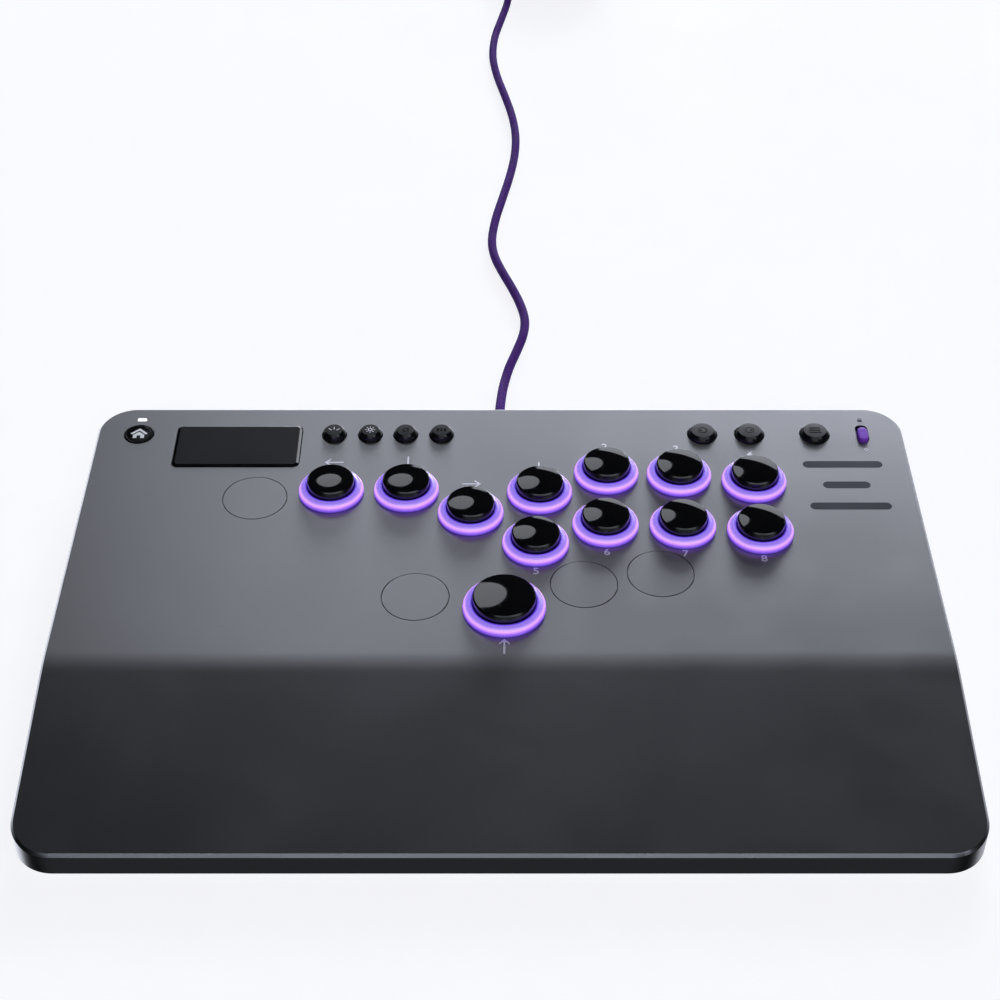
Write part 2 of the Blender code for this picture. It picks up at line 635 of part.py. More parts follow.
def build_slider(material):
    """Pill-shaped knob with grooves across its top, on a carriage under the panel."""
    centre = from_rear(SLIDER_PLACE)
    knob_low = FLANGE_LOW + FLANGE_THICKNESS / 3
    knob_top = PANEL_Z + SLIDER_RISE
    bm = bmesh.new()
    add_prism(bm, rounded_rectangle((0, 0), SLIDER_SIZE, SLIDER_CORNER), knob_low, knob_top)
    slider = mesh_object("lock_slider", bm, material, (*centre, 0))
    carriage = bmesh.new()
    add_box(carriage, (-4.5 * MM, -6.5 * MM, FLANGE_LOW), (4.5 * MM, 6.5 * MM, FLANGE_TOP))
    boolean(slider, "slider_carriage", carriage, "UNION")
    fork = bmesh.new()
    half = 1.2 * MM
    fork_low = FUNCTION_BOARD_TOP + SLIDE_SWITCH_HEIGHT + 0.4 * MM
    add_box(fork, (-half, -half, fork_low), (half, half, knob_low))
    boolean(slider, "slider_fork", fork, "UNION")
    grooves = bmesh.new()
    half_width = 0.35 * MM
    depth = 0.4 * MM
    reach = SLIDER_SIZE[0]
    for y in SLIDER_GROOVES:
        add_box(grooves, (-reach, y - half_width, knob_top - depth),
                (reach, y + half_width, knob_top + OVERCUT))
    boolean(slider, "slider_grooves", grooves, "DIFFERENCE")


# ---------------------------------------------------------------- cord and plugs

def build_socket(material):
    """Receptacle under the function board, open to the rear for the plug's tip."""
    half_x = PLUG_TIP[0] / 2 + GAP
    half_z = PLUG_TIP[2] / 2 + GAP
    outer_x = half_x + SOCKET_SHELL
    outer_z = half_z + SOCKET_SHELL
    mouth = PLUG_START_Y - GAP
    back = mouth - SOCKET_DEPTH
    bm = bmesh.new()
    add_box(bm, (-outer_x, back, PLUG_Z - outer_z), (outer_x, mouth, PLUG_Z + outer_z))
    socket = mesh_object("usb_socket", bm, material)
    cavity = bmesh.new()
    add_box(cavity, (-half_x, back + 2 * SOCKET_SHELL, PLUG_Z - half_z),
            (half_x, mouth + OVERCUT, PLUG_Z + half_z))
    boolean(socket, "socket_cavity", cavity, "DIFFERENCE")


def plug_object(name, base, direction, mould, tip, material):
    """Moulded plug: its tip points along -direction, its tapered relief along +direction.

    base is the mould's tip-side face centre; mould and tip are (width, length, height).
    """
    turn = Matrix.Rotation(atan2(direction[1], direction[0]) - pi / 2, 4, "Z")
    bm = bmesh.new()
    outline = rounded_rectangle((0, 0), (mould[0], mould[2]), mould[2] * 0.35, 3)
    add_prism(bm, outline, 0.0, mould[1])
    stand = Matrix.Rotation(-pi / 2, 4, "X")
    bmesh.ops.transform(bm, matrix=turn @ stand, verts=bm.verts)
    plug = mesh_object(name, bm, material, base)
    for part, shape in (("tip", tip_mesh(tip)), ("relief", relief_mesh(mould[1]))):
        bmesh.ops.transform(shape, matrix=turn @ stand, verts=shape.verts)
        boolean(plug, f"{name}_{part}", shape, "UNION")


def tip_mesh(tip):
    bm = bmesh.new()
    outline = rounded_rectangle((0, 0), (tip[0], tip[2]), tip[2] * 0.3, 2)
    add_prism(bm, outline, -tip[1], OVERCUT)
    return bm


def relief_mesh(mould_length):
    bm = bmesh.new()
    thick, thin = RELIEF_RADII
    start = mould_length - OVERCUT
    end = mould_length + RELIEF_LENGTH
    profile = [(0, start), (thick, start), (thick, mould_length), (thin, end), (0, end)]
    add_turned(bm, profile, RELIEF_SEGMENTS)
    return bm


def smooth_path(points, spacing):
    """Evenly spaced points along a smooth curve through the route's own points."""
    dense = []
    last = len(points) - 1
    for i in range(last):
        before = points[max(i - 1, 0)]
        start = points[i]
        end = points[i + 1]
        after = points[min(i + 2, last)]
        for step in range(12):
            t = step / 12
            dense.append(0.5 * ((2 * start) + (end - before) * t
                                + (2 * before - 5 * start + 4 * end - after) * t ** 2
                                + (3 * start - before - 3 * end + after) * t ** 3))
    dense.append(points[-1])
    length = sum((b - a).length for a, b in zip(dense, dense[1:]))
    count = max(2, round(length / spacing))
    path = [dense[0]]
    travelled = 0.0
    target = length / count
    for a, b in zip(dense, dense[1:]):
        step = (b - a).length
        while travelled + step >= target * len(path) and len(path) < count:
            path.append(a.lerp(b, (target * len(path) - travelled) / step))
        travelled += step
    path.append(dense[-1])
    return path


def cord_tube(name, points, spacing, material):
    path = smooth_path(points, spacing)
    curve = bpy.data.curves.new(name, "CURVE")
    curve.dimensions = "3D"
    curve.bevel_depth = CORD_RADIUS
    curve.bevel_resolution = 2
    curve.use_fill_caps = True
    spline = curve.splines.new("POLY")
    spline.points.add(len(path) - 1)
    for vertex, point in zip(spline.points, path):
        vertex.co = (*point, 1.0)
    curve.materials.append(material)
    bpy.context.collection.objects.link(bpy.data.objects.new(name, curve))


def tail_route():
    """From high on the coil's outer side, down round it to the far side and its plug."""
    points = []
    for angle, z in TAIL_DESCENT:
        a = radians(angle)
        points.append(COIL_CENTRE + Vector((TAIL_RADIUS * cos(a), TAIL_RADIUS * sin(a), z * MM)))
    points.append(points[-1] + Vector((TAIL_STRAIGHT, 0, 0)))
    return points


def build_cord(cord_material, plug_material):
    base = Vector((0, PLUG_START_Y, PLUG_Z))
    plug_object("plug_device", base, (0, 1), PLUG_SIZE, PLUG_TIP, plug_material)

    run = [Vector(point) * MM for point in CORD_ROUTE]
    cord_tube("cord_run", run, RUN_SPACING, cord_material)

    profile = [(COIL_INNER, 0), (COIL_OUTER, 0), (COIL_OUTER, COIL_HEIGHT),
               (COIL_INNER, COIL_HEIGHT)]
    turned("cord_coil", profile, cord_material, COIL_CENTRE, COIL_SEGMENTS)

    tail = tail_route()
    cord_tube("cord_tail", tail, TAIL_SPACING, cord_material)
    reach = Vector((GAP + RELIEF_LENGTH + FAR_PLUG_SIZE[1], 0, 0))
    plug_object("plug_far_end", tail[-1] + reach, (-1, 0), FAR_PLUG_SIZE, FAR_PLUG_TIP,
                plug_material)


# ---------------------------------------------------------------- assembly

def build():
    clear_scene()
    anodised = make_material("anodised_aluminium", (0.25, 0.26, 0.30), 0.42, 0.9)
    steel = make_material("bottom_steel", (0.03, 0.03, 0.035), 0.5, 0.6)
    rubber = make_material("foot_rubber", (0.02, 0.02, 0.02), 0.9)
    screw_steel = make_material("screw_steel", (0.08, 0.08, 0.09), 0.35, 1.0)
    circuit = make_material("circuit_board", (0.01, 0.05, 0.03), 0.5)
    cap_black = make_material("cap_gloss_black", (0.006, 0.006, 0.008), 0.08)
    ring_violet = make_material("ring_lit_violet", (0.48, 0.25, 1.0), 0.3)
    key_black = make_material("key_matte_black", (0.02, 0.02, 0.024), 0.55)
    pad_black = make_material("touchpad_charcoal", (0.022, 0.022, 0.027), 0.5)
    pipe_white = make_material("light_pipe_white", (0.9, 0.9, 0.95), 0.3)
    slider_purple = make_material("slider_purple", (0.19, 0.06, 0.5), 0.4)
    braid_purple = make_material("braid_purple", (0.08, 0.025, 0.24), 0.8)
    plug_black = make_material("plug_black", (0.015, 0.015, 0.018), 0.5)

    build_top_case(anodised)
    build_bottom_plate(steel)
    build_feet(rubber)
    build_screws(screw_steel)
    build_main_board(circuit)
    build_function_board(circuit)
    build_buttons(cap_black, ring_violet)
    build_blanks(anodised)
    build_keys(key_black, cap_black)
    build_touchpad(pad_black)
    build_light_pipe(pipe_white)
    build_slider(slider_purple)
    build_socket(screw_steel)
    build_cord(braid_purple, plug_black)


build()
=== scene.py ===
from math import atan2, cos, pi, radians, sin, sqrt, tan

import bmesh
import bpy
from mathutils import Matrix, Vector


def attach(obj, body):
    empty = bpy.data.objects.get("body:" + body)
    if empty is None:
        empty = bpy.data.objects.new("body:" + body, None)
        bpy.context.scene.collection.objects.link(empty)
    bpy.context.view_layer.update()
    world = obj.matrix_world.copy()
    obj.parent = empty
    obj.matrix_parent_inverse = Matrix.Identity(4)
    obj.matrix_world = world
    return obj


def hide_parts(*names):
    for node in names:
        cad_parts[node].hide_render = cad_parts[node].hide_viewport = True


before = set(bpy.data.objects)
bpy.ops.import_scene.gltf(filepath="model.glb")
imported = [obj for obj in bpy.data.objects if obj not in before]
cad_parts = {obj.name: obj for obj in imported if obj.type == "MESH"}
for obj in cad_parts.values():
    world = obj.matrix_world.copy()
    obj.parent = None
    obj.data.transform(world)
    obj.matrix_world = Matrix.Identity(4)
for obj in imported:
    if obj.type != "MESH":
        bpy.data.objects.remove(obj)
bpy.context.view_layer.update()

MM = 0.001
GAP = 0.3 * MM
FINE = 96
CUTTER = 72
CARVE = "DIFFERENCE"
JOIN = "UNION"

WIDTH = 401 * MM
DEPTH = 276.4 * MM
DATUM_Y = 136.5 * MM
FOOT_HEIGHT = 1.2 * MM
PANEL_Z = 24.7 * MM
FRONT_CORNER_RADIUS = 18.4 * MM
REAR_CORNER_RADIUS = 18.2 * MM
CORNER_STEPS = 28
WALL = 2.2 * MM
PANEL_THICKNESS = 2.0 * MM
PANEL_UNDERSIDE = PANEL_Z - PANEL_THICKNESS
EDGE_CHAMFER = 1.15 * MM
PALM_SLOPE = radians(7.1)
BEND_Y = DATUM_Y - 176.8 * MM
BEND_RADIUS = 97 * MM
BEND_STEPS = 16

PLATE_TOP = 3.2 * MM
MAIN_BOARD_TOP = 8.6 * MM
FUNCTION_BOARD_TOP = 12.6 * MM
POST_BOTTOM = FUNCTION_BOARD_TOP + 3.5 * MM + 0.8 * MM + GAP
SCREW_HEAD_RADIUS = 2.8 * MM
SCREW_RADIUS = 1.15 * MM
PILOT_RADIUS = 1.45 * MM
BOSS_RADIUS = 3.5 * MM
CASE_SCREW_TIP = 10.3 * MM
CASE_SCREWS = [(-189, 92), (189, 92), (-189, -18), (189, -18), (-150, -118), (150, -118)]
BOARD_SCREWS = [(-98, 5), (138, -12), (21, 94)]

# Controls as (x, distance from the datum line just inside the rear edge) in millimetres
BUTTONS = {"left": (-81.1, 63.0), "down": (-45.0, 62.6), "right": (-13.9, 79.3),
    "jump": (1.9, 143.6), "action_1": (19.0, 64.1), "action_2": (51.6, 49.8),
    "action_3": (86.8, 51.3), "action_4": (122.8, 55.9), "action_5": (16.6, 100.6),
    "action_6": (49.7, 87.6), "action_7": (86.1, 88.5), "action_8": (122.3, 92.0), }
BLANKS = {"1": (-117.5, 67.6), "2": (-38.4, 136.0), "3": (38.3, 127.8), "4": (73.7, 120.7)}
KEYS = {"light": (-82.4, 19.6), "profile": (-64.5, 19.6), "mute": (-46.9, 19.6),
    "share": (-29.1, 19.6), "stick_left": (100.7, 19.1), "stick_right": (124.1, 19.1),
    "menu": (156.6, 19.1)}
SMALL_KEYS = ("light", "profile", "mute", "share")
LARGE_KEYS = ("stick_left", "stick_right", "menu")
SMALL_KEY_RADIUS = 5.9 * MM
LARGE_KEY_RADIUS = 7.2 * MM
HOME_PLACE = (-179.7, 19.0)
LED_PLACE = (-179.7, 7.3)
TOUCHPAD_PLACE = (-129.55, 28.6)
SLIDER_PLACE = (180.4, 20.4)

SMALL_CAP_RADIUS = 11.2 * MM
SMALL_RING_RADIUS = 15.65 * MM
JUMP_CAP_RADIUS = 14.25 * MM
JUMP_RING_RADIUS = 18.85 * MM
SMALL_DOME_RADIUS = 73 * MM
JUMP_DOME_RADIUS = 130 * MM
RING_LIP = 0.5 * MM
BLANK_RADIUS = SMALL_RING_RADIUS - RING_LIP
HOME_RADIUS = 7.2 * MM
LED_SIZE = (4.5 * MM, 2.1 * MM)
TOUCHPAD_SIZE = (62.0 * MM, 31.7 * MM)
SLIDER_SIZE = (5.0 * MM, 9.6 * MM)
SLIDER_TRAVEL = 3.2 * MM

CORD_RADIUS = 2.5 * MM
PLUG_Z = 8.7 * MM
PLUG_START_Y = 124.7 * MM
# The cord's middle in millimetres: sloping down to the table, then lying on it
CORD_ROUTE = [(0, 150.5, 8.7), (0, 158, 8.4), (0.5, 168, 6.4), (1.8, 184, 3.2)]
CORD_ROUTE += [(x, y, 2.6) for x, y in ((4.8, 201), (9.2, 217), (12.8, 232), (13.7, 246),
    (11.2, 261), (6.6, 277), (1.2, 293), (-3.2, 309), (-4.7, 326), (-2.6, 348), (1.5, 371),
    (6.1, 397), (9.1, 421), (9.8, 445), (7.6, 470), (3, 496), (-2, 522), (-4.8, 548), (-3.6, 575),
    (0.6, 600), (4.8, 624), (6.8, 646), (7, 660.8))]
COIL_CENTRE = Vector((42, 680, 0)) * MM
COIL_RADII = [35 * MM, 30 * MM, 25 * MM, 20 * MM]
COIL_LIFT = 0.9 * MM
TAIL_RADIUS = 40.6 * MM
TAIL_POINTS = [(172, 14.5), (150, 10.5), (128, 6.5), (108, 4.3), (90, 4.5)]
TAIL_STRAIGHT = 14 * MM
LEAD_OUT = radians(83)
LEAD_STEPS = 6


# ---- node materials

def add_node(tree, kind, inputs=None, **settings):
    made = tree.nodes.new("ShaderNode" + kind)
    for key, value in settings.items():
        setattr(made, key, value)
    for key, value in (inputs or {}).items():
        if isinstance(value, bpy.types.NodeSocket):
            tree.links.new(value, made.inputs[key])
        else:
            made.inputs[key].default_value = value
    return made


def maths(tree, operation, *values):
    return add_node(tree, "Math", dict(enumerate(values)), operation=operation).outputs[0]


def times(tree, first, second):
    return maths(tree, "MULTIPLY", first, second)


def remap(tree, value, low, high, to_low=0.0, to_high=1.0, smooth=True):
    kind = "SMOOTHSTEP" if smooth else "LINEAR"
    inputs = {"Value": value, "From Min": low, "From Max": high, "To Min": to_low,
        "To Max": to_high}
    return add_node(tree, "MapRange", inputs, interpolation_type=kind).outputs["Result"]


def noise(tree, vector, scale, detail=3.0, roughness=0.5):
    inputs = {"Vector": vector, "Scale": scale, "Detail": detail, "Roughness": roughness}
    return add_node(tree, "TexNoise", inputs).outputs["Fac"]


def blend_colour(tree, factor, *colours):
    inputs = {"Factor": factor}
    for index, colour in zip((6, 7), colours):
        inputs[index] = (*colour, 1.0) if isinstance(colour, tuple) else colour
    return add_node(tree, "Mix", inputs, data_type="RGBA").outputs[2]


def ramp(tree, factor, stops):
    made = add_node(tree, "ValToRGB", {"Fac": factor})
    elements = made.color_ramp.elements
    while len(elements) < len(stops):
        elements.new(0.5)
    for element, (place, colour) in zip(elements, stops):
        element.position = place
        element.color = (*colour, 1.0)
    return made.outputs["Color"]


def set_inputs(shader, **values):
    for key, value in values.items():
        shader.inputs[key.replace("_", " ")].default_value = value


def finish(name, dark, light, rough, grain=(1500, 0.01), tone_scale=25, metallic=0.0, wear=0.5,
        specular=0.5):
    """Principled material with tone, roughness and relief that vary over the surface.

    dark and light are the two tones, a grey given as (level, blue), rough the (lowest, highest)
    roughness, and grain the relief's (noise scale, depth in millimetres). Returns the material
    and its tree's parts.
    """
    if len(dark) == 2:
        dark, light = ((level, level, blue) for level, blue in (dark, light))
    material = bpy.data.materials.new(name)
    material.use_nodes = True
    tree = material.node_tree
    shader = tree.nodes["Principled BSDF"]
    set_inputs(shader, Metallic=metallic, Specular_IOR_Level=specular)
    place = add_node(tree, "TexCoord").outputs["Object"]
    broad = noise(tree, place, tone_scale, 4.0)
    fine = noise(tree, place, grain[0], 2.0)
    worn = maths(tree, "MULTIPLY_ADD", fine, wear, times(tree, broad, 1 - wear))
    tone = remap(tree, worn, 0.3, 0.7)
    colour = blend_colour(tree, tone, dark, light)
    tree.links.new(colour, shader.inputs["Base Color"])
    patch = noise(tree, place, tone_scale * 3, 5.0, 0.6)
    tree.links.new(remap(tree, patch, 0.3, 0.7, *rough), shader.inputs["Roughness"])
    relief = add_node(tree, "Bump", {"Height": fine, "Strength": 1.0, "Distance": grain[1] * MM})
    tree.links.new(relief.outputs["Normal"], shader.inputs["Normal"])
    parts = {"tree": tree, "shader": shader, "place": place, "fine": fine, "relief": relief,
        "colour": colour, "broad": broad}
    return material, parts


def case_metal(name, dark, light, rough):
    material, _ = finish(name, dark, light, rough, grain=(2600, 0.004), tone_scale=9, metallic=1.0,
        wear=0.85)
    return material


def gloss_cap(name, specular, coat, smudges):
    """Piano-black moulding: hair scratches and faint smudges break up the reflections."""
    material, parts = finish(name, (0.0045, 0.0055), (0.006, 0.0075), smudges, grain=(320, 0.0015),
        tone_scale=60, specular=specular)
    tree = parts["tree"]
    stretched = add_node(tree, "Mapping",
        {"Vector": parts["place"], "Scale": (900, 60, 900),
        "Rotation": (0, 0, 0.7)}).outputs["Vector"]
    scratch = remap(tree, noise(tree, stretched, 1.0, 2.0), 0.62, 0.70)
    smudge = remap(tree, noise(tree, parts["place"], 180, 4.0), 0.35, 0.75, *smudges)
    rough = maths(tree, "MULTIPLY_ADD", scratch, 0.05, smudge)
    tree.links.new(rough, parts["shader"].inputs["Roughness"])
    set_inputs(parts["shader"], Coat_Weight=coat, Coat_Roughness=0.03)
    return material


# Emission colours along the ring's section: the LED glow with painted light on it. The pink band
# from 0.46 to 0.60 is a painted highlight, and the darker stops near the bore and towards the base
# are painted shade.
RING_GLOW_WITH_PAINTED_LIGHT = [
    (0.00, (0.010, 0.003, 0.14)), (0.07, (0.035, 0.010, 0.36)), (0.12, (0.15, 0.075, 0.78)),
    (0.20, (0.30, 0.21, 0.76)), (0.26, (0.22, 0.14, 0.66)), (0.33, (0.32, 0.21, 0.76)),
    (0.40, (0.40, 0.24, 0.86)), (0.46, (0.72, 0.39, 0.98)), (0.53, (0.82, 0.43, 1.0)),
    (0.60, (0.70, 0.32, 1.0)), (0.68, (0.38, 0.155, 0.95)), (0.78, (0.17, 0.070, 0.68)),
    (0.88, (0.085, 0.040, 0.44)), (1.00, (0.085, 0.050, 0.30)),
]
RING_BAND = (19.8, 27.4)


def lit_ring():
    """Frosted light guide: the glow follows the section, from the bore out to the base, with a
    painted highlight and painted shade.
    """
    material, parts = finish("ring_light", (0.16, 0.08, 0.40), (0.21, 0.11, 0.48), (0.22, 0.32),
        grain=(900, 0.004), tone_scale=120, specular=0.75)
    tree = parts["tree"]
    along = add_node(tree, "UVMap", uv_map="Turned").outputs["UV"]
    split = add_node(tree, "SeparateXYZ", {"Vector": along})
    millimetres = times(tree, split.outputs["Y"], 20.0)
    uneven = times(tree, maths(tree, "SUBTRACT", parts["broad"], 0.5), 0.35)
    band = remap(tree, maths(tree, "ADD", millimetres, uneven), *RING_BAND, smooth=False)
    # glow: the LED glow plus the painted highlight and painted shade of the ramp above
    glow = ramp(tree, band, RING_GLOW_WITH_PAINTED_LIGHT)
    tree.links.new(glow, parts["shader"].inputs["Emission Color"])
    set_inputs(parts["shader"], Emission_Strength=0.95)
    return material


STRANDS = 10.0
BRAID_RELIEF = 0.24 * MM


def braid():
    """Woven sleeve: two families of strands cross at 45 degrees, over one and under one, with
    painted shade in the gaps and painted highlights on the crowns.
    """
    material, parts = finish("cord_braid", (0.12, 0.019, 0.42), (0.17, 0.030, 0.53), (0.62, 0.8),
        grain=(4000, 0.02), tone_scale=40, specular=0.08)
    tree = parts["tree"]
    shader = parts["shader"]
    along = add_node(tree, "UVMap", uv_map="Braid").outputs["UV"]
    split = add_node(tree, "SeparateXYZ", {"Vector": along})
    around = times(tree, split.outputs["X"], STRANDS)
    pitch = STRANDS / (2 * pi * CORD_RADIUS)
    forward = times(tree, split.outputs["Y"], pitch)
    families = [maths(tree, "ADD", around, forward), maths(tree, "SUBTRACT", around, forward)]
    crowns = [maths(tree, "ABSOLUTE", maths(tree, "SINE", times(tree, f, pi))) for f in families]
    cells = maths(tree, "ADD", *[maths(tree, "FLOOR", f) for f in families])
    over = maths(tree, "PINGPONG", cells, 1.0)
    heights = []
    for main, cross in (crowns, crowns[::-1]):
        heights.append(times(tree, main, maths(tree, "POWER", cross, 0.35)))
    picked = add_node(tree, "Mix", {"Factor": over, 2: heights[0], 3: heights[1]},
        data_type="FLOAT").outputs[0]
    fibre = maths(tree, "MULTIPLY_ADD", parts["fine"], 0.25, picked)
    tree.links.new(fibre, parts["relief"].inputs["Height"])
    parts["relief"].inputs["Distance"].default_value = BRAID_RELIEF
    # Colour from the weave's height: painted shade darkens the gaps between strands, and a painted
    # highlight brightens the crowns.
    crown = remap(tree, picked, 0.35, 0.9)
    lit = blend_colour(tree, crown, (0.012, 0.002, 0.05), parts["colour"])
    shade = blend_colour(tree, remap(tree, picked, 0.8, 1.0), lit, (0.42, 0.12, 0.95))
    tree.links.new(shade, shader.inputs["Base Color"])
    set_inputs(shader, Sheen_Weight=0.04, Sheen_Roughness=0.4, Sheen_Tint=(0.5, 0.25, 0.9, 1.0))
    return material


def circuit():
    """Dark green solder mask over faint traces."""
    material, parts = finish("circuit_board", (0.006, 0.035, 0.02), (0.012, 0.065, 0.036),
        (0.3, 0.5), grain=(1800, 0.003), tone_scale=30)
    tree = parts["tree"]
    bricks = add_node(tree, "TexBrick", {"Vector": parts["place"], "Scale": 160.0,
        "Mortar Size": 0.03}).outputs["Fac"]
    traced = blend_colour(tree, bricks, parts["colour"], (0.03, 0.14, 0.07))
    tree.links.new(traced, parts["shader"].inputs["Base Color"])
    return material


def glowing(name, colour, strength):
    material, parts = finish(name, (0.8, 0.8, 0.85), (0.95, 0.95, 1.0), (0.3, 0.4),
        grain=(900, 0.003), tone_scale=200)
    tree = parts["tree"]
    shade = maths(tree, "MULTIPLY_ADD", parts["broad"], 0.3, 0.85)
    mixed = add_node(tree, "VectorMath", {0: colour, "Scale": shade}, operation="SCALE")
    tree.links.new(mixed.outputs[0], parts["shader"].inputs["Emission Color"])
    set_inputs(parts["shader"], Emission_Strength=strength)
    return material


def make_materials():
    made = {
        "case": case_metal("case_metal", (0.273, 0.289), (0.289, 0.305), (0.315, 0.345)),
        "chamfer": case_metal("case_chamfer", (0.24, 0.245, 0.27), (0.28, 0.285, 0.31),
                              (0.24, 0.32)),
        "cap": gloss_cap("cap_gloss", 0.5, 0.62, (0.03, 0.075)),
        "cap_edge": gloss_cap("cap_edge", 0.45, 0.0, (0.17, 0.21)),
        "ring": lit_ring(),
        "braid": braid(),
        "circuit": circuit(),
        "pipe": glowing("light_pipe", (0.95, 0.97, 1.0), 1.0),
    }
    plain = {
        "plate": ("plate_paint", (0.020, 0.023), (0.032, 0.037), (0.42, 0.6), (1100, 0.03), 0.5),
        "rubber": ("foot_rubber", (0.016, 0.017), (0.028, 0.03), (0.8, 0.95), (1400, 0.03), 0.5),
        "key": ("key_matte", (0.016, 0.020), (0.020, 0.025), (0.28, 0.38), (2200, 0.006), 0.2),
        "key_wide": ("key_matte_wide", (0.022, 0.023, 0.028), (0.028, 0.029, 0.035),
                     (0.34, 0.42), (2200, 0.006), 0.28),
        # key sides: a glossier finish, and their darker tone is painted shade
        "key_flank_painted_shade": ("key_flank_painted_shade", (0.006, 0.008), (0.009, 0.011), (0.12, 0.2), (1600, 0.003),
                      0.5),
        "pad": ("touchpad_matte", (0.010, 0.013), (0.014, 0.018), (0.36, 0.46), (2600, 0.006),
                0.08),
        # touchpad bevel and sides: a glossier finish, and their darker tone is painted shade
        "pad_edge_painted_shade": ("touchpad_edge", (0.004, 0.005), (0.006, 0.008), (0.12, 0.2),
                     (900, 0.003), 0.5),
        "home": ("home_gloss", (0.004, 0.005), (0.006, 0.007), (0.10, 0.18), (900, 0.003), 0.07),
        "slider": ("slider_purple", (0.31, 0.085, 0.80), (0.37, 0.11, 0.90), (0.36, 0.5),
                   (1500, 0.008), 0.2),
        "mould": ("plug_mould", (0.012, 0.014), (0.02, 0.023), (0.5, 0.65), (1600, 0.02), 0.5),
        "ink_black": ("printed_ink_black", (0.002, 0.003), (0.004, 0.005), (0.45, 0.6),
                      (2500, 0.004), 0.02),
        "tie": ("tie_strap", (0.010, 0.012), (0.022, 0.026), (0.8, 0.95), (2600, 0.12), 0.5),
    }
    for key, (name, dark, light, rough, grain, specular) in plain.items():
        made[key] = finish(name, dark, light, rough, grain, specular=specular)[0]
    bright = {
        "screw": ("screw_steel", (0.05, 0.055), (0.09, 0.10), (0.28, 0.42), 1.0),
        "plated": ("plug_metal", (0.55, 0.57), (0.66, 0.68), (0.2, 0.32), 1.0),
        "ink": ("printed_ink", (0.82, 0.84, 0.92), (0.90, 0.92, 0.98), (0.31, 0.36), 0.45),
        "ink_dark": ("printed_ink_dark", (0.031, 0.032, 0.043), (0.037, 0.038, 0.050),
                     (0.31, 0.36), 1.0),
        "ink_white": ("printed_ink_white", (0.86, 0.87, 0.90), (0.92, 0.93, 0.95),
                      (0.31, 0.36), 1.0),
    }
    for key, (name, dark, light, rough, metallic) in bright.items():
        made[key] = finish(name, dark, light, rough, (1200, 0.004), metallic=metallic)[0]
    return made


# ---- mesh helpers

def place_of(spot):
    """A spot given as (x, distance from the datum line) in millimetres, in the case's frame."""
    return spot[0] * MM, DATUM_Y - spot[1] * MM


def on_deck(spot):
    return (*place_of(spot), 0)


def mesh_from(name, bm, materials, chosen=None, sharp=35):
    bmesh.ops.recalc_face_normals(bm, faces=bm.faces)
    mesh = bpy.data.meshes.new(name)
    if chosen:
        for face in bm.faces:
            face.material_index = chosen(face)
    bm.to_mesh(mesh)
    bm.free()
    mesh.shade_smooth()
    mesh.set_sharp_from_angle(angle=radians(sharp))
    for material in materials:
        mesh.materials.append(material)
    return mesh


def linked(name, data):
    thing = bpy.data.objects.new(name, data)
    bpy.context.collection.objects.link(thing)
    return thing


def piece(name, mesh, body, location=(0, 0, 0), replaced=(), even=False):
    """Link a mesh as a piece that rides on a body.

    even lets its large flat faces keep flat shading beside the narrow rounded ones.
    """
    thing = linked(name, mesh)
    thing.location = location
    bpy.context.view_layer.update()
    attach(thing, body)
    if replaced:
        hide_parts(*replaced)
    if even:
        modifier = thing.modifiers.new("even_shading", "WEIGHTED_NORMAL")
        modifier.keep_sharp = True
        modifier.weight = 80
    return thing


def stand_in(cad_name, mesh, body, location=(0, 0, 0), even=False):
    """Link a mesh that takes the place of the one CAD node it is named after."""
    return piece(f"{cad_name}_fine", mesh, body, location, [cad_name], even)


def cut(target_mesh, steps, sharp=None):
    """Apply Boolean steps, each (operation, bm); edges over sharp degrees stay sharp."""
    target = linked("being_cut", target_mesh)
    tools = []
    for operation, bm in steps:
        tool = linked("tool", mesh_from("tool", bm, []))
        modifier = target.modifiers.new("cut", "BOOLEAN")
        modifier.operation = operation
        modifier.solver = "EXACT"
        modifier.object = tool
        tools.append(tool)
    bpy.context.view_layer.update()
    depsgraph = bpy.context.evaluated_depsgraph_get()
    result = bpy.data.meshes.new_from_object(target.evaluated_get(depsgraph))
    for thing in tools + [target]:
        bpy.data.objects.remove(thing, do_unlink=True)
    if sharp:
        result.shade_smooth()
        result.set_sharp_from_angle(angle=radians(sharp))
    return result


def arc(centre, radius, start, end, steps):
    angles = [start + (end - start) * i / steps for i in range(steps + 1)]
    return [(centre[0] + radius * cos(a), centre[1] + radius * sin(a)) for a in angles]


def circle(centre, radius, steps=CUTTER):
    return arc(centre, radius, 0, 2 * pi, steps)[:-1]


def rounded(centre, size, radius, steps=10):
    half_x = size[0] / 2 - radius
    half_y = size[1] / 2 - radius
    corners = [(half_x, -half_y, -pi / 2), (half_x, half_y, 0), (-half_x, half_y, pi / 2),
        (-half_x, -half_y, pi)]
    points = []
    for dx, dy, start in corners:
        middle = (centre[0] + dx, centre[1] + dy)
        points += arc(middle, radius, start, start + pi / 2, steps)
    return points


def section(size, radius, steps=10, centre=(0, 0)):
    """Rounded rectangle as a function of how far its edge is grown."""
    return lambda grow: rounded(centre, (size[0] + 2 * grow, size[1] + 2 * grow), radius + grow,
        steps)


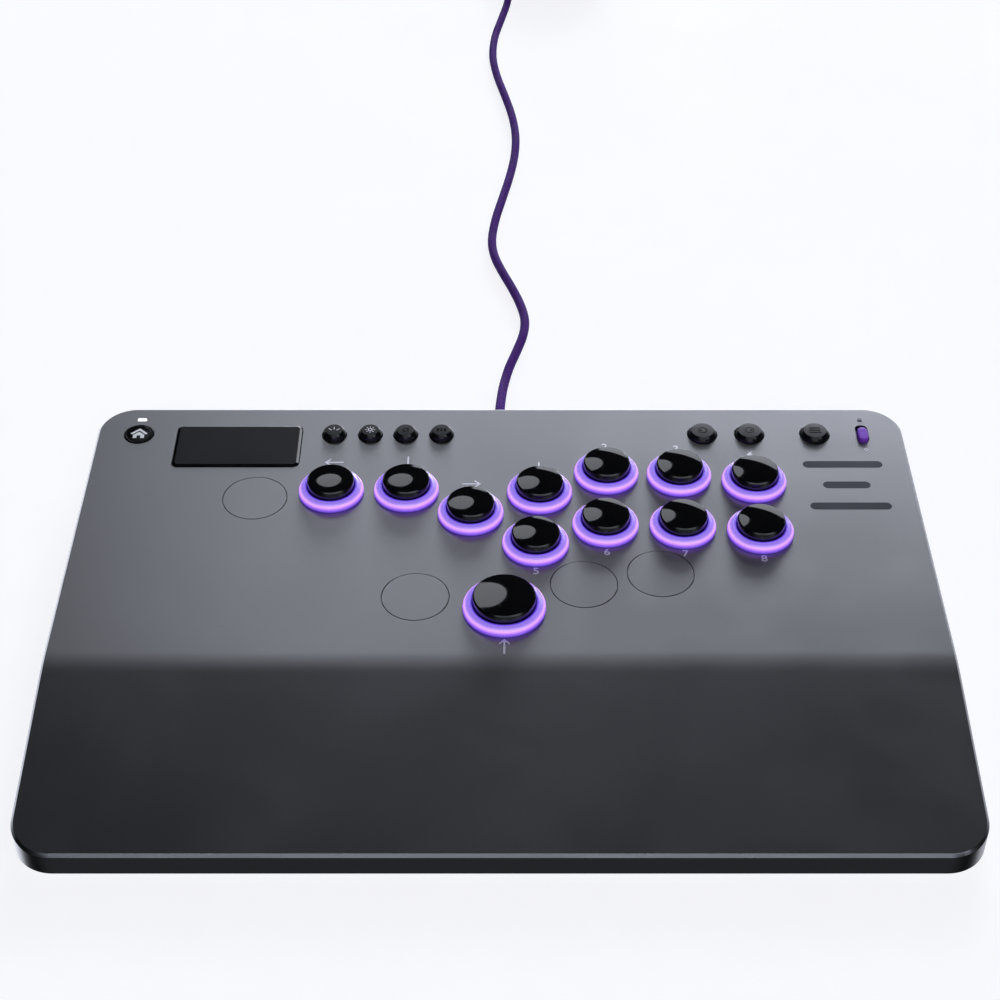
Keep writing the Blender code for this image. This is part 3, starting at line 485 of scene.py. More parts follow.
def soften(corners, steps=5):
    """Profile through (radius, z, rounding) corners, each corner eased over its rounding."""
    points = []
    last = len(corners) - 1
    for i, (r, z, ease) in enumerate(corners):
        here = Vector((r, z))
        if not ease or i in (0, last):
            points.append(here)
            continue
        before = Vector(corners[i - 1][:2]) - here
        after = Vector(corners[i + 1][:2]) - here
        start = here + before.normalized() * min(ease, before.length * 0.49)
        end = here + after.normalized() * min(ease, after.length * 0.49)
        for step in range(steps + 1):
            t = step / steps
            points.append(start * (1 - t) ** 2 + here * (2 * t * (1 - t)) + end * t ** 2)
    return [(p.x, p.y) for p in points]


def walls(bm, rings):
    """Quads between each ring of vertices and the next."""
    count = len(rings[0])
    for lower, upper in zip(rings, rings[1:]):
        for i in range(count):
            j = (i + 1) % count
            bm.faces.new((lower[i], lower[j], upper[j], upper[i]))


def loft(bm, loops):
    """Closed solid through equal-length loops of points."""
    rings = [[bm.verts.new(point) for point in loop] for loop in loops]
    walls(bm, rings)
    bm.faces.new(list(reversed(rings[0])))
    bm.faces.new(rings[-1])


def stack(bm, levels):
    """Loft through (outline, z) levels."""
    loft(bm, [[(x, y, z) for x, y in outline] for outline, z in levels])


def prism(bm, outline, low, high):
    stack(bm, [(outline, low), (outline, high)])


def box(bm, low, high):
    outline = [(low[0], low[1]), (high[0], low[1]), (high[0], high[1]), (low[0], high[1])]
    prism(bm, outline, low[2], high[2])


def spin(bm, profile, segments=FINE, centre=(0, 0)):
    """Spin (radius, z) points round the vertical axis, with UVs round it and along the profile."""
    layers = bm.loops.layers.uv
    layer = layers[0] if layers else layers.new("Turned")
    lengths = [0.0]
    for a, b in zip(profile, profile[1:]):
        lengths.append(lengths[-1] + (Vector(b) - Vector(a)).length / (20 * MM))
    rings = []
    for radius, z in profile:
        count = 1 if radius == 0 else segments
        rings.append([bm.verts.new((centre[0] + radius * cos(2 * pi * i / segments),
            centre[1] + radius * sin(2 * pi * i / segments), z)) for i in range(count)])
    spans = list(zip(range(len(profile) - 1), range(1, len(profile))))
    if profile[0][0] != 0:
        spans.append((len(profile) - 1, 0))
    for low, high in spans:
        for i in range(segments):
            j = (i + 1) % segments
            corners = {}
            for ring, k, u in ((low, i, i), (low, j, i + 1), (high, j, i + 1), (high, i, i)):
                vertex = rings[ring][k % len(rings[ring])]
                corners.setdefault(vertex, (u / segments, lengths[ring]))
            if len(corners) > 2:
                face = bm.faces.new(list(corners))
                for loop in face.loops:
                    loop[layer].uv = corners[loop.vert]


def turned(name, profile, materials, segments=FINE, sharp=35, chosen=None):
    bm = bmesh.new()
    spin(bm, profile, segments)
    return mesh_from(name, bm, materials, chosen, sharp)


# ---- case

def panel_height(y):
    roll = BEND_RADIUS * tan(PALM_SLOPE / 2)
    start = BEND_Y + roll
    end = start - BEND_RADIUS * sin(PALM_SLOPE)
    if y >= start:
        return PANEL_Z
    if y >= end:
        return PANEL_Z - BEND_RADIUS + sqrt(BEND_RADIUS ** 2 - (start - y) ** 2)
    drop = BEND_RADIUS * (1 - cos(PALM_SLOPE))
    return PANEL_Z - drop - (end - y) * tan(PALM_SLOPE)


def half_outline(inset):
    front = (WIDTH / 2 - FRONT_CORNER_RADIUS, -DEPTH / 2 + FRONT_CORNER_RADIUS)
    rear = (WIDTH / 2 - REAR_CORNER_RADIUS, DEPTH / 2 - REAR_CORNER_RADIUS)
    roll_start = BEND_Y + BEND_RADIUS * tan(PALM_SLOPE / 2)
    roll_width = BEND_RADIUS * sin(PALM_SLOPE)
    points = arc(front, FRONT_CORNER_RADIUS - inset, -pi / 2, 0, CORNER_STEPS)
    for i in range(BEND_STEPS + 1):
        points.append((WIDTH / 2 - inset, roll_start - roll_width * (1 - i / BEND_STEPS)))
    return points + arc(rear, REAR_CORNER_RADIUS - inset, 0, pi / 2, CORNER_STEPS)


def whole_outline(inset):
    right = half_outline(inset)
    return right + [(-x, y) for x, y in reversed(right)]


def case_solid(bm, levels):
    """Closed solid under the skin; levels are (inset, flat z or None, drop from the skin)."""
    loops = []
    for inset, flat, drop in levels:
        loops.append([bm.verts.new((x, y, flat if flat is not None else panel_height(y) - drop))
            for x, y in whole_outline(inset)])
    walls(bm, loops)
    bm.faces.new(list(reversed(loops[0])))
    top = loops[-1]
    count = len(top)
    for i in range(count // 2 - 1):
        bm.faces.new((top[i], top[i + 1], top[count - 2 - i], top[count - 1 - i]))


def hole(bm, outline, chamfer=0.12 * MM):
    """Cutter for one opening in the panel; outline(grow) gives its edge grown by that much."""
    low = PANEL_UNDERSIDE - 1 * MM
    high = PANEL_Z + 1 * MM
    stack(bm, [(outline(0.0), low), (outline(0.0), PANEL_Z - chamfer),
        (outline(chamfer + high - PANEL_Z), high)])


def panel_holes():
    bm = bmesh.new()
    for spot in BLANKS.values():
        hole(bm, lambda grow, s=spot: circle(place_of(s), BLANK_RADIUS + 0.4 * MM + grow),
            0.04 * MM)
    rounds = []
    for name, spot in BUTTONS.items():
        ring = JUMP_RING_RADIUS if name == "jump" else SMALL_RING_RADIUS
        rounds.append((spot, ring - RING_LIP))
    rounds += [(KEYS[key], SMALL_KEY_RADIUS) for key in SMALL_KEYS]
    rounds += [(KEYS[key], LARGE_KEY_RADIUS) for key in LARGE_KEYS]
    rounds.append((HOME_PLACE, HOME_RADIUS))
    for spot, radius in rounds:
        hole(bm, lambda grow, s=spot, r=radius: circle(place_of(s), r + GAP + grow))
    x, y = place_of(SLIDER_PLACE)
    slot = (SLIDER_SIZE[0] + 1.0 * MM, SLIDER_SIZE[1] + SLIDER_TRAVEL + 1.0 * MM)
    shapes = [(place_of(LED_PLACE), LED_SIZE, 0.6 * MM, GAP),
        (place_of(TOUCHPAD_PLACE), TOUCHPAD_SIZE, 3.0 * MM, GAP),
        ((x, y + SLIDER_TRAVEL / 2), slot, slot[0] / 2 - 0.1 * MM, 0.0)]
    for centre, size, corner, gap in shapes:
        outline = section(size, corner, centre=centre)
        hole(bm, lambda grow, o=outline, g=gap: o(g + grow))
    return bm


def build_case(mats):
    bm = bmesh.new()
    foot = FOOT_HEIGHT
    case_solid(bm, [(0.25 * MM, foot, 0), (0.0, foot + 0.25 * MM, 0),
        (0.0, None, EDGE_CHAMFER + 0.12 * MM), (0.06 * MM, None, EDGE_CHAMFER - 0.06 * MM),
        (EDGE_CHAMFER - 0.06 * MM, None, 0.06 * MM), (EDGE_CHAMFER + 0.12 * MM, None, 0)])
    shell = mesh_from("case_shell", bm, [mats["case"], mats["chamfer"]])
    hollow = bmesh.new()
    case_solid(hollow, [(WALL, 0.0, 0), (WALL, None, PANEL_THICKNESS)])
    bosses = bmesh.new()
    pilots = bmesh.new()
    for spots, low, tip in ((CASE_SCREWS, PLATE_TOP + GAP, CASE_SCREW_TIP + 0.9 * MM),
            (BOARD_SCREWS, MAIN_BOARD_TOP + GAP, MAIN_BOARD_TOP + 8 * MM)):
        for x, y in spots:
            centre = (x * MM, y * MM)
            high = panel_height(centre[1]) - 1 * MM
            prism(bosses, circle(centre, BOSS_RADIUS, 32), low, high)
            prism(pilots, circle(centre, PILOT_RADIUS, 24), low - 1 * MM, tip)
    window = bmesh.new()
    rear = DEPTH / 2
    opening = rounded((0, PLUG_Z), (12.8 * MM, 7.4 * MM), 2.2 * MM)
    flare = rounded((0, PLUG_Z), (13.8 * MM, 8.4 * MM), 2.7 * MM)
    loft(window, [[(x, rear - 2 * WALL, z) for x, z in opening],
        [(x, rear - 0.5 * MM, z) for x, z in opening], [(x, rear, z) for x, z in flare],
        [(x, rear + WALL, z) for x, z in flare]])
    finished = cut(shell, [(CARVE, hollow), (JOIN, bosses), (CARVE, pilots),
        (CARVE, panel_holes()), (CARVE, window)], 24)
    for polygon in finished.polygons:
        centre = polygon.center
        steep = 0.3 < polygon.normal.z < 0.93
        at_edge = abs(centre.z - panel_height(centre.y)) < 1.4 * MM
        polygon.material_index = int(steep and at_edge and outside_inset(centre, 2 * MM))
    piece("case_shell", finished, "case", replaced=["top_case"], even=True)


def outside_inset(point, inset):
    """True where the point lies within the inset band along the case's outline."""
    x, y = abs(point.x), point.y
    radius = FRONT_CORNER_RADIUS if y < 0 else REAR_CORNER_RADIUS
    over_x = x - (WIDTH / 2 - radius)
    over_y = abs(y) - (DEPTH / 2 - radius)
    if over_x > 0 and over_y > 0:
        return sqrt(over_x ** 2 + over_y ** 2) > radius - inset
    return max(over_x, over_y) > radius - inset


def build_base(mats):
    bm = bmesh.new()
    inset = WALL + GAP
    stack(bm, [(whole_outline(inset + 0.3 * MM), FOOT_HEIGHT),
        (whole_outline(inset), FOOT_HEIGHT + 0.3 * MM), (whole_outline(inset), PLATE_TOP)])
    plate = mesh_from("base_plate", bm, [mats["plate"]])
    recesses = bmesh.new()
    for x, y in CASE_SCREWS:
        profile = [(0, 0), (SCREW_HEAD_RADIUS + 0.7 * MM, 0),
            (SCREW_HEAD_RADIUS + GAP, FOOT_HEIGHT + 0.4 * MM),
            (SCREW_HEAD_RADIUS + GAP, FOOT_HEIGHT + 1.3 * MM),
            (PILOT_RADIUS, FOOT_HEIGHT + 1.3 * MM), (PILOT_RADIUS, PLATE_TOP + 1 * MM),
            (0, PLATE_TOP + 1 * MM)]
        spin(recesses, profile, 32, (x * MM, y * MM))
    low = FOOT_HEIGHT - 1 * MM
    grooves = bmesh.new()
    for size, height in (((150 * MM, 60 * MM), 0.35 * MM), ((144 * MM, 54 * MM), 0)):
        prism(grooves, rounded((0, 10 * MM), size, 5 * MM), low, FOOT_HEIGHT + height)
    for x in (-118, -106, -94, 94, 106, 118):
        prism(grooves, rounded((x * MM, 10 * MM), (4 * MM, 60 * MM), 1.9 * MM), low,
            FOOT_HEIGHT + 0.5 * MM)
    finished = cut(plate, [(CARVE, recesses), (CARVE, grooves)], 30)
    piece("base_plate_fine", finished, "case", replaced=["bottom_plate"], even=True)


def build_feet(mats):
    for name, y in (("front", -94 * MM), ("rear", 112 * MM)):
        bm = bmesh.new()
        ease = 0.5 * MM
        size = (320 * MM, 14 * MM)
        outline = section(size, 6.5 * MM, centre=(0, y))
        stack(bm, [(outline(-ease), 0.0), (outline(0), ease), (outline(0), FOOT_HEIGHT)])
        strip = mesh_from(f"foot_{name}", bm, [mats["rubber"]])
        grooves = bmesh.new()
        for across in (-3.6, -1.2, 1.2, 3.6):
            low = (-152 * MM, y + (across - 0.4) * MM, -1 * MM)
            box(grooves, low, (152 * MM, y + (across + 0.4) * MM, 0.45 * MM))
        finished = cut(strip, [(CARVE, grooves)], 30)
        piece(f"foot_{name}_fine", finished, "case",
            replaced=[f"foot_strip_{name}"], even=True)


def build_screws(mats):
    low = FOOT_HEIGHT + 0.1 * MM
    high = FOOT_HEIGHT + 1.0 * MM
    head = SCREW_HEAD_RADIUS
    profile = soften([(0, low, 0), (head, low, 0.35 * MM), (head, high, 0),
        (SCREW_RADIUS, high, 0), (SCREW_RADIUS, CASE_SCREW_TIP - 1 * MM, 0),
        (0, CASE_SCREW_TIP, 0)], 4)
    socket = bmesh.new()
    prism(socket, circle((0, 0), 1.25 * MM, 6), low - 1 * MM, low + 0.6 * MM)
    mesh = cut(turned("case_screw", profile, [mats["screw"]], 32), [(CARVE, socket)])
    for number, (x, y) in enumerate(CASE_SCREWS, 1):
        stand_in(f"case_screw_{number}", mesh, "case", (x * MM, y * MM, 0))


# ---- push buttons

CAP_RISE = 8.3 * MM
CAP_WALL = 1.5 * MM
STEM_RADIUS = 3.0 * MM
STEM_BOTTOM = 14.2 * MM


def cap_mesh(name, radius, dome, materials):
    rise = CAP_RISE
    edge = radius - 0.7 * MM
    crown_drop = dome - sqrt(dome ** 2 - edge ** 2)
    profile = []
    for i in range(13):
        r = edge * i / 12
        height = PANEL_Z + rise + crown_drop - (dome - sqrt(dome ** 2 - r ** 2))
        profile.append((r, height, 0))
    low = PANEL_UNDERSIDE - 0.5 * MM
    inner = radius - CAP_WALL
    crown = PANEL_Z + 6.2 * MM
    profile += [(radius, PANEL_Z + rise - 0.6 * MM, 0.12 * MM), (radius, low, 0.3 * MM),
        (inner, low, 0.3 * MM), (inner, crown, 0.5 * MM), (STEM_RADIUS, crown, 0),
        (STEM_RADIUS, STEM_BOTTOM, 0.4 * MM), (0, STEM_BOTTOM, 0)]
    return turned(name, soften(profile, 3), materials, sharp=20,
        chosen=lambda face: int(0.1 < face.normal.z < 0.9))


def ring_mesh(name, ring, bore, material):
    """Light guide section, from the bore's foot over the top to the base: 19.8 mm up to
    27.4 mm along it is the part that shows."""
    foot = MAIN_BOARD_TOP + GAP
    neck = ring - RING_LIP
    lip = PANEL_Z + GAP
    profile = soften([(bore, foot, 0), (bore, PANEL_Z + 4.3 * MM, 0.5 * MM),
        (bore + 1.5 * MM, PANEL_Z + 4.15 * MM, 0.8 * MM),
        (ring - 1.15 * MM, PANEL_Z + 3.3 * MM, 0.95 * MM), (ring, PANEL_Z + 1.7 * MM, 1.2 * MM),
        (ring, lip, 0.12 * MM), (neck, lip, 0), (neck, foot, 0)], 7)
    return turned(name, profile, [material])


def build_buttons(mats):
    running_gap = 0.35 * MM
    meshes = {}
    sizes = (("small", SMALL_CAP_RADIUS, SMALL_RING_RADIUS, SMALL_DOME_RADIUS),
        ("jump", JUMP_CAP_RADIUS, JUMP_RING_RADIUS, JUMP_DOME_RADIUS))
    for kind, cap, ring, dome in sizes:
        finishes = [mats["cap"], mats["cap_edge"]]
        meshes[kind] = (cap_mesh(f"cap_{kind}", cap, dome, finishes),
            ring_mesh(f"ring_{kind}", ring, cap + running_gap, mats["ring"]))
    for name, spot in BUTTONS.items():
        cap, ring = meshes["jump" if name == "jump" else "small"]
        location = on_deck(spot)
        stand_in(f"cap_{name}", cap, f"button_{name}", location)
        stand_in(f"ring_{name}", ring, "case", location)


def build_blanks(mats):
    top = PANEL_Z
    flange = PANEL_UNDERSIDE - GAP
    cup = BLANK_RADIUS - 1.6 * MM
    profile = soften([(0, top, 0), (BLANK_RADIUS, top, 0.05 * MM), (BLANK_RADIUS, flange, 0),
        (17 * MM, flange, 0), (17 * MM, flange - 1.5 * MM, 0), (cup, flange - 1.5 * MM, 0),
        (cup, PANEL_UNDERSIDE, 0), (0, PANEL_UNDERSIDE, 0)], 2)
    mesh = turned("blank_plug", profile, [mats["case"]])
    for number, spot in BLANKS.items():
        stand_in(f"blank_plug_{number}", mesh, "case", on_deck(spot), True)


# ---- function controls

def key_foot(radius):
    """Profile of the flange under the panel and of the post that meets the switch."""
    flange = PANEL_UNDERSIDE - GAP
    post = 1.6 * MM
    return [(radius, flange, 0), (radius + 1.2 * MM, flange, 0),
        (radius + 1.2 * MM, flange - 1.2 * MM, 0), (post, flange - 1.2 * MM, 0),
        (post, POST_BOTTOM, 0), (0, POST_BOTTOM, 0)]


def key_mesh(name, base, top, rise, bulge, mats):
    """Key with a flat matt top and a glossier flank that bulges outward by a little; the flank's
    darker tone is painted shade.
    """
    middle = ((top + base) / 2 + bulge, PANEL_Z + rise * 0.55)
    profile = soften([(0, PANEL_Z + rise + 0.1 * MM, 0), (top, PANEL_Z + rise, 0.12 * MM),
        (*middle, 1.2 * MM), (base, PANEL_Z + 0.3 * MM, 0.5 * MM), *key_foot(base)], 6)
    return turned(name, profile, mats, 64, 24, lambda face: int(face.normal.z < 0.95))


def build_keys(mats):
    small = key_mesh("key_small", SMALL_KEY_RADIUS, 4.3 * MM, 3.3 * MM, 0.45 * MM,
        [mats["key"], mats["key_flank_painted_shade"]])
    large = key_mesh("key_large", LARGE_KEY_RADIUS, 5.6 * MM, 2.6 * MM, 0.2 * MM,
        [mats["key_wide"], mats["key_flank_painted_shade"]])
    for name, spot in KEYS.items():
        mesh = small if name in SMALL_KEYS else large
        stand_in(f"key_{name}", mesh, f"key_{name}", on_deck(spot))
    radius = HOME_RADIUS
    top = PANEL_Z + 0.4 * MM
    profile = soften([(0, top, 0), (radius - 1.3 * MM, top, 0.1 * MM),
        (radius - 1.2 * MM, top - 0.15 * MM, 0.05 * MM),
        (radius - 0.9 * MM, top - 0.15 * MM, 0.05 * MM), (radius - 0.8 * MM, top, 0.1 * MM),
        (radius, top, 0.35 * MM), *key_foot(radius)], 3)
    home = turned("key_home", profile, [mats["home"]], 64)
    stand_in("key_home", home, "key_home", on_deck(HOME_PLACE))


def build_touchpad(mats):
    flange = PANEL_UNDERSIDE - GAP
    top = PANEL_Z + 0.8 * MM
    outline = section(TOUCHPAD_SIZE, 3.0 * MM)
    bm = bmesh.new()
    stack(bm, [(outline(1 * MM), flange - 1.2 * MM), (outline(1 * MM), flange),
        (outline(0), flange), (outline(0), PANEL_Z - 0.05 * MM),
        (outline(-0.08 * MM), PANEL_Z + 0.1 * MM), (outline(-1.15 * MM), top - 0.1 * MM),
        (outline(-1.35 * MM), top - 0.02 * MM), (outline(-1.6 * MM), top)])
    # The bevel and sides take the glossier finish, whose darker tone is painted shade.
    mesh = mesh_from("touchpad", bm, [mats["pad"], mats["pad_edge_painted_shade"]], sharp=25,
        chosen=lambda face: int(face.normal.z < 0.9))
    stand_in("touchpad", mesh, "touchpad", on_deck(TOUCHPAD_PLACE), True)


def build_light_pipe(mats):
    bm = bmesh.new()
    outline = section(LED_SIZE, 0.6 * MM)
    bevel = 0.15 * MM
    stack(bm, [(outline(0), FUNCTION_BOARD_TOP + GAP), (outline(0), PANEL_Z - bevel),
        (outline(-bevel), PANEL_Z)])
    mesh = mesh_from("light_pipe", bm, [mats["pipe"]])
    stand_in("light_pipe", mesh, "case", on_deck(LED_PLACE))


def build_slider(mats):
    flange = PANEL_UNDERSIDE - GAP
    top = PANEL_Z + 1.9 * MM
    outline = section(SLIDER_SIZE, SLIDER_SIZE[0] / 2 - 0.1 * MM)
    bm = bmesh.new()
    stack(bm, [(outline(0), flange - 0.8 * MM), (outline(0), top - 0.6 * MM),
        (outline(-0.12 * MM), top - 0.25 * MM), (outline(-0.35 * MM), top - 0.06 * MM),
        (outline(-0.65 * MM), top)])
    knob = mesh_from("lock_slider", bm, [mats["slider"]])
    carriage = bmesh.new()
    box(carriage, (-4.5 * MM, -6.5 * MM, flange - 1.2 * MM), (4.5 * MM, 6.5 * MM, flange))
    fork = bmesh.new()
    half = 1.2 * MM
    box(fork, (-half, -half, FUNCTION_BOARD_TOP + 3.4 * MM), (half, half, flange - 0.8 * MM))
    grooves = bmesh.new()
    for y in (-2.4, -0.8, 0.8, 2.4):
        box(grooves, (-4 * MM, (y - 0.2) * MM, top - 0.2 * MM),
            (4 * MM, (y + 0.2) * MM, top + 1 * MM))
    finished = cut(knob, [(JOIN, carriage), (JOIN, fork), (CARVE, grooves)], 30)
    stand_in("lock_slider", finished, "lock_slider", on_deck(SLIDER_PLACE))


# ---- marks

class Mark:
    """Thin printed mark gathered from simple shapes, each a hair higher than the last."""

    def __init__(self, surface, thickness=0.04 * MM):
        self.bm = bmesh.new()
        self.surface = surface
        self.top = surface + thickness

    def polygon(self, points):
        outline = [(x * MM, y * MM) for x, y in points]
        prism(self.bm, outline, self.surface - 0.05 * MM, self.top)
        self.top += 0.004 * MM

    def bar(self, start, end, width):
        x0, y0 = start
        x1, y1 = end
        turn = atan2(y1 - y0, x1 - x0)
        half = width / 2
        self.polygon(arc((x1, y1), half, turn - pi / 2, turn + pi / 2, 8) + arc((x0, y0), half,
            turn + pi / 2, turn + 3 * pi / 2, 8))

    def dot(self, centre, radius):
        self.polygon(circle(centre, radius, 28))

    def hoop(self, centre, radius, width):
        outer = (radius + width / 2) * MM
        inner = (radius - width / 2) * MM
        low = self.surface - 0.05 * MM
        spin(self.bm, [(inner, low), (inner, self.top), (outer, self.top), (outer, low)], 40,
            (centre[0] * MM, centre[1] * MM))
        self.top += 0.004 * MM

    def place(self, name, material, body, slot, location):
        piece(name, mesh_from(name, self.bm, [material]), body, (*location, 0))

    def on_case(self, name, material, location):
        self.place(name, material, "case", "case_metal", location)

    def on_key(self, name, material):
        self.place(f"icon_{name}", material, f"key_{name}", "key_matte", place_of(KEYS[name]))


def digit_mesh(text, size, surface, material):
    curve = bpy.data.curves.new(f"digit_{text}", "FONT")
    curve.body = text
    curve.size = size
    curve.align_x = "CENTER"
    curve.align_y = "CENTER"
    curve.extrude = 0.03 * MM
    curve.offset = 0.1 * MM
    holder = linked("digit", curve)
    bpy.context.view_layer.update()
    mesh = bpy.data.meshes.new_from_object(
        holder.evaluated_get(bpy.context.evaluated_depsgraph_get()))
    bpy.data.objects.remove(holder, do_unlink=True)
    mesh.transform(Matrix.Translation((0, 0, surface)))
    mesh.materials.clear()
    mesh.materials.append(material)
    return mesh


def arrow(mark, turn):
    """Thin arrow pointing along turn degrees, drawn about its middle."""
    a = radians(turn)

    def spun(x, y):
        return x * cos(a) - y * sin(a), x * sin(a) + y * cos(a)
    mark.bar(spun(-4.2, 0), spun(4.2, 0), 0.85)
    mark.bar(spun(4.2, 0), spun(1.9, 2.1), 0.85)
    mark.bar(spun(4.2, 0), spun(1.9, -2.1), 0.85)


def build_labels(mats):
    arrows = {"left": (180, 6.4), "down": (-90, 5.8), "right": (0, 6.4), "jump": (90, -5.4)}
    for name, (turn, clear) in arrows.items():
        x, y = place_of(BUTTONS[name])
        ring = JUMP_RING_RADIUS if name == "jump" else SMALL_RING_RADIUS
        mark = Mark(PANEL_Z)
        arrow(mark, turn)
        y += clear * MM + (ring if clear > 0 else -ring)
        mark.on_case(f"label_{name}", mats["ink"], (x, y))
    for number in range(1, 9):
        x, y = place_of(BUTTONS[f"action_{number}"])
        y += SMALL_RING_RADIUS + 5.2 * MM if number < 5 else -SMALL_RING_RADIUS - 3.0 * MM
        mesh = digit_mesh(str(number), 6.0 * MM, PANEL_Z, mats["ink"])
        piece(f"label_action_{number}", mesh, "case", (x, y, 0))
    mark = Mark(PANEL_Z)
    for half, y in ((17, 15.5), (9, 0), (17, -15.5)):
        mark.bar((-half, y), (half, y), 5.0)
    mark.on_case("panel_stripes", mats["ink_dark"], place_of((167.5, 58)))
    mark = Mark(PANEL_Z)
    mark.polygon(rounded((0, -0.5), (2.2, 1.7), 0.2, 3))
    mark.hoop((0, 0.6), 0.75, 0.35)
    mark.on_case("mark_locked", mats["ink_dark"], place_of((180.5, 8.0)))
    mark = Mark(PANEL_Z)
    mark.hoop((0, 0), 0.8, 0.35)
    mark.on_case("mark_unlocked", mats["ink"], place_of((180.7, 31.0)))


def build_icons(mats):
    small_top = PANEL_Z + 3.37 * MM
    large_top = PANEL_Z + 2.66 * MM
    rays = Mark(small_top)
    for angle in (38, 90, 142):
        a = radians(angle)
        rays.bar((1.6 * cos(a), 1.6 * sin(a) - 1.3), (3.3 * cos(a), 3.3 * sin(a) - 1.3), 0.4)
    rays.on_key("light", mats["ink"])
    sun = Mark(small_top)
    sun.hoop((0, 0), 0.95, 0.4)
    for k in range(8):
        a = 2 * pi * k / 8
        sun.bar((1.7 * cos(a), 1.7 * sin(a)), (2.35 * cos(a), 2.35 * sin(a)), 0.35)
    sun.on_key("profile", mats["ink"])
    mute = Mark(small_top)
    mute.hoop((0, 0), 1.35, 0.45)
    mute.bar((-1.5, -1.5), (1.5, 1.5), 0.4)
    mute.on_key("mute", mats["ink_black"])
    share = Mark(small_top)
    for x in (-1.7, 0, 1.7):
        share.polygon(rounded((x, 0), (1.1, 2.2), 0.25, 3))
    share.on_key("share", mats["ink_black"])
    menu = Mark(large_top)
    for y in (-1.7, 0, 1.7):
        menu.bar((-2.5, y), (2.5, y), 0.75)
    menu.on_key("menu", mats["ink_black"])
    for name, shift in (("stick_left", -1), ("stick_right", 1)):
        stick = Mark(large_top)
        stick.hoop((0, 0), 2.0, 0.4)
        stick.dot((0.8 * shift, 0), 0.6)
        stick.on_key(name, mats["ink_black"])
    house = Mark(PANEL_Z + 0.4 * MM)
    house.polygon([(-4.3, 0.1), (0, 4.0), (4.3, 0.1), (3.4, -0.8), (0, 2.3), (-3.4, -0.8)])
    house.polygon([(-2.8, -1.1), (-2.8, -3.5), (-0.9, -3.5), (-0.9, -1.5), (0.9, -1.5),
        (0.9, -3.5), (2.8, -3.5), (2.8, -1.1), (0, 1.4)])
    house.place("icon_home", mats["ink_white"], "key_home", "home_gloss", place_of(HOME_PLACE))


# ---- cord and plugs

def smooth(points, steps=8):
    """Points along a smooth curve through the route's own points."""
    dense = []
    last = len(points) - 1
    for i in range(last):
        before = points[max(i - 1, 0)]
        start = points[i]
        end = points[i + 1]
        after = points[min(i + 2, last)]
        for step in range(steps):
            t = step / steps
            dense.append(0.5 * ((2 * start) + (end - before) * t +
                (2 * before - 5 * start + 4 * end - after) * t ** 2 +
                (3 * start - before - 3 * end + after) * t ** 3))
    dense.append(points[-1])
    return dense


def coil_points():
    """Turns side by side, a cord's width apart, four columns wide, layer on layer."""
    columns = []
    layer = [0, 1, 2, 3]
    for level in range(3):
        columns += [(COIL_RADII[c], level) for c in (layer if level % 2 == 0 else layer[::-1])]
    columns += [(COIL_RADII[2], 3), (COIL_RADII[1], 3)]
    points = []
    turn_steps = 24
    last_turn_steps = 19
    crossing_steps = 8
    first = pi
    travelled = 0
    for number, (radius, level) in enumerate(columns):
        following = columns[min(number + 1, len(columns) - 1)]
        steps = turn_steps if number < len(columns) - 1 else last_turn_steps
        for step in range(steps):
            share = max(0.0, (step - turn_steps + crossing_steps) / crossing_steps)
            share = share * share * (3 - 2 * share)
            angle = first - 2 * pi * travelled / turn_steps
            r = radius + (following[0] - radius) * share
            z = (level + (following[1] - level) * share) * 2 * CORD_RADIUS
            height = CORD_RADIUS + COIL_LIFT + z
            points.append(COIL_CENTRE + Vector((r * cos(angle), r * sin(angle), height)))
            travelled += 1
    start = first - 2 * pi * travelled / turn_steps
    for step in range(LEAD_STEPS):
        share = step / LEAD_STEPS
        out = share * share * (3 - 2 * share)
        angle = start - LEAD_OUT * share
        r = COIL_RADII[1] + (TAIL_RADIUS - COIL_RADII[1]) * out
        z = height + (TAIL_POINTS[0][1] * MM - height) * out ** 4
        points.append(COIL_CENTRE + Vector((r * cos(angle), r * sin(angle), z)))
    return points


def tail_points():
    points = []
    for angle, z in TAIL_POINTS:
        a = radians(angle)
        points.append(COIL_CENTRE + Vector((TAIL_RADIUS * cos(a), TAIL_RADIUS * sin(a), z * MM)))
    points.append(points[-1] + Vector((TAIL_STRAIGHT, 0, 0)))
    return points


def tube_mesh(name, path, radius, sides, material):
    """Round tube along a path, with UVs round it and, in metres, along it."""
    bm = bmesh.new()
    layer = bm.loops.layers.uv.new("Braid")
    rings = []
    lengths = [0.0]
    side = Vector((1, 0, 0))
    for i, point in enumerate(path):
        before = path[max(i - 1, 0)]
        after = path[min(i + 1, len(path) - 1)]
        along = (after - before).normalized()
        side = (side - along * side.dot(along)).normalized()
        up = along.cross(side)
        rings.append([bm.verts.new(point + radius *
            (side * cos(2 * pi * k / sides) + up * sin(2 * pi * k / sides))) for k in
            range(sides)])
        if i:
            lengths.append(lengths[-1] + (point - before).length)
    for i in range(len(path) - 1):
        for k in range(sides):
            n = (k + 1) % sides
            face = bm.faces.new((rings[i][k], rings[i][n], rings[i + 1][n], rings[i + 1][k]))
            values = ((k, i), (k + 1, i), (k + 1, i + 1), (k, i + 1))
            for loop, (u, v) in zip(face.loops, values):
                loop[layer].uv = (u / sides, lengths[v])
    bm.faces.new(list(reversed(rings[0])))
    bm.faces.new(rings[-1])
    return mesh_from(name, bm, [material])


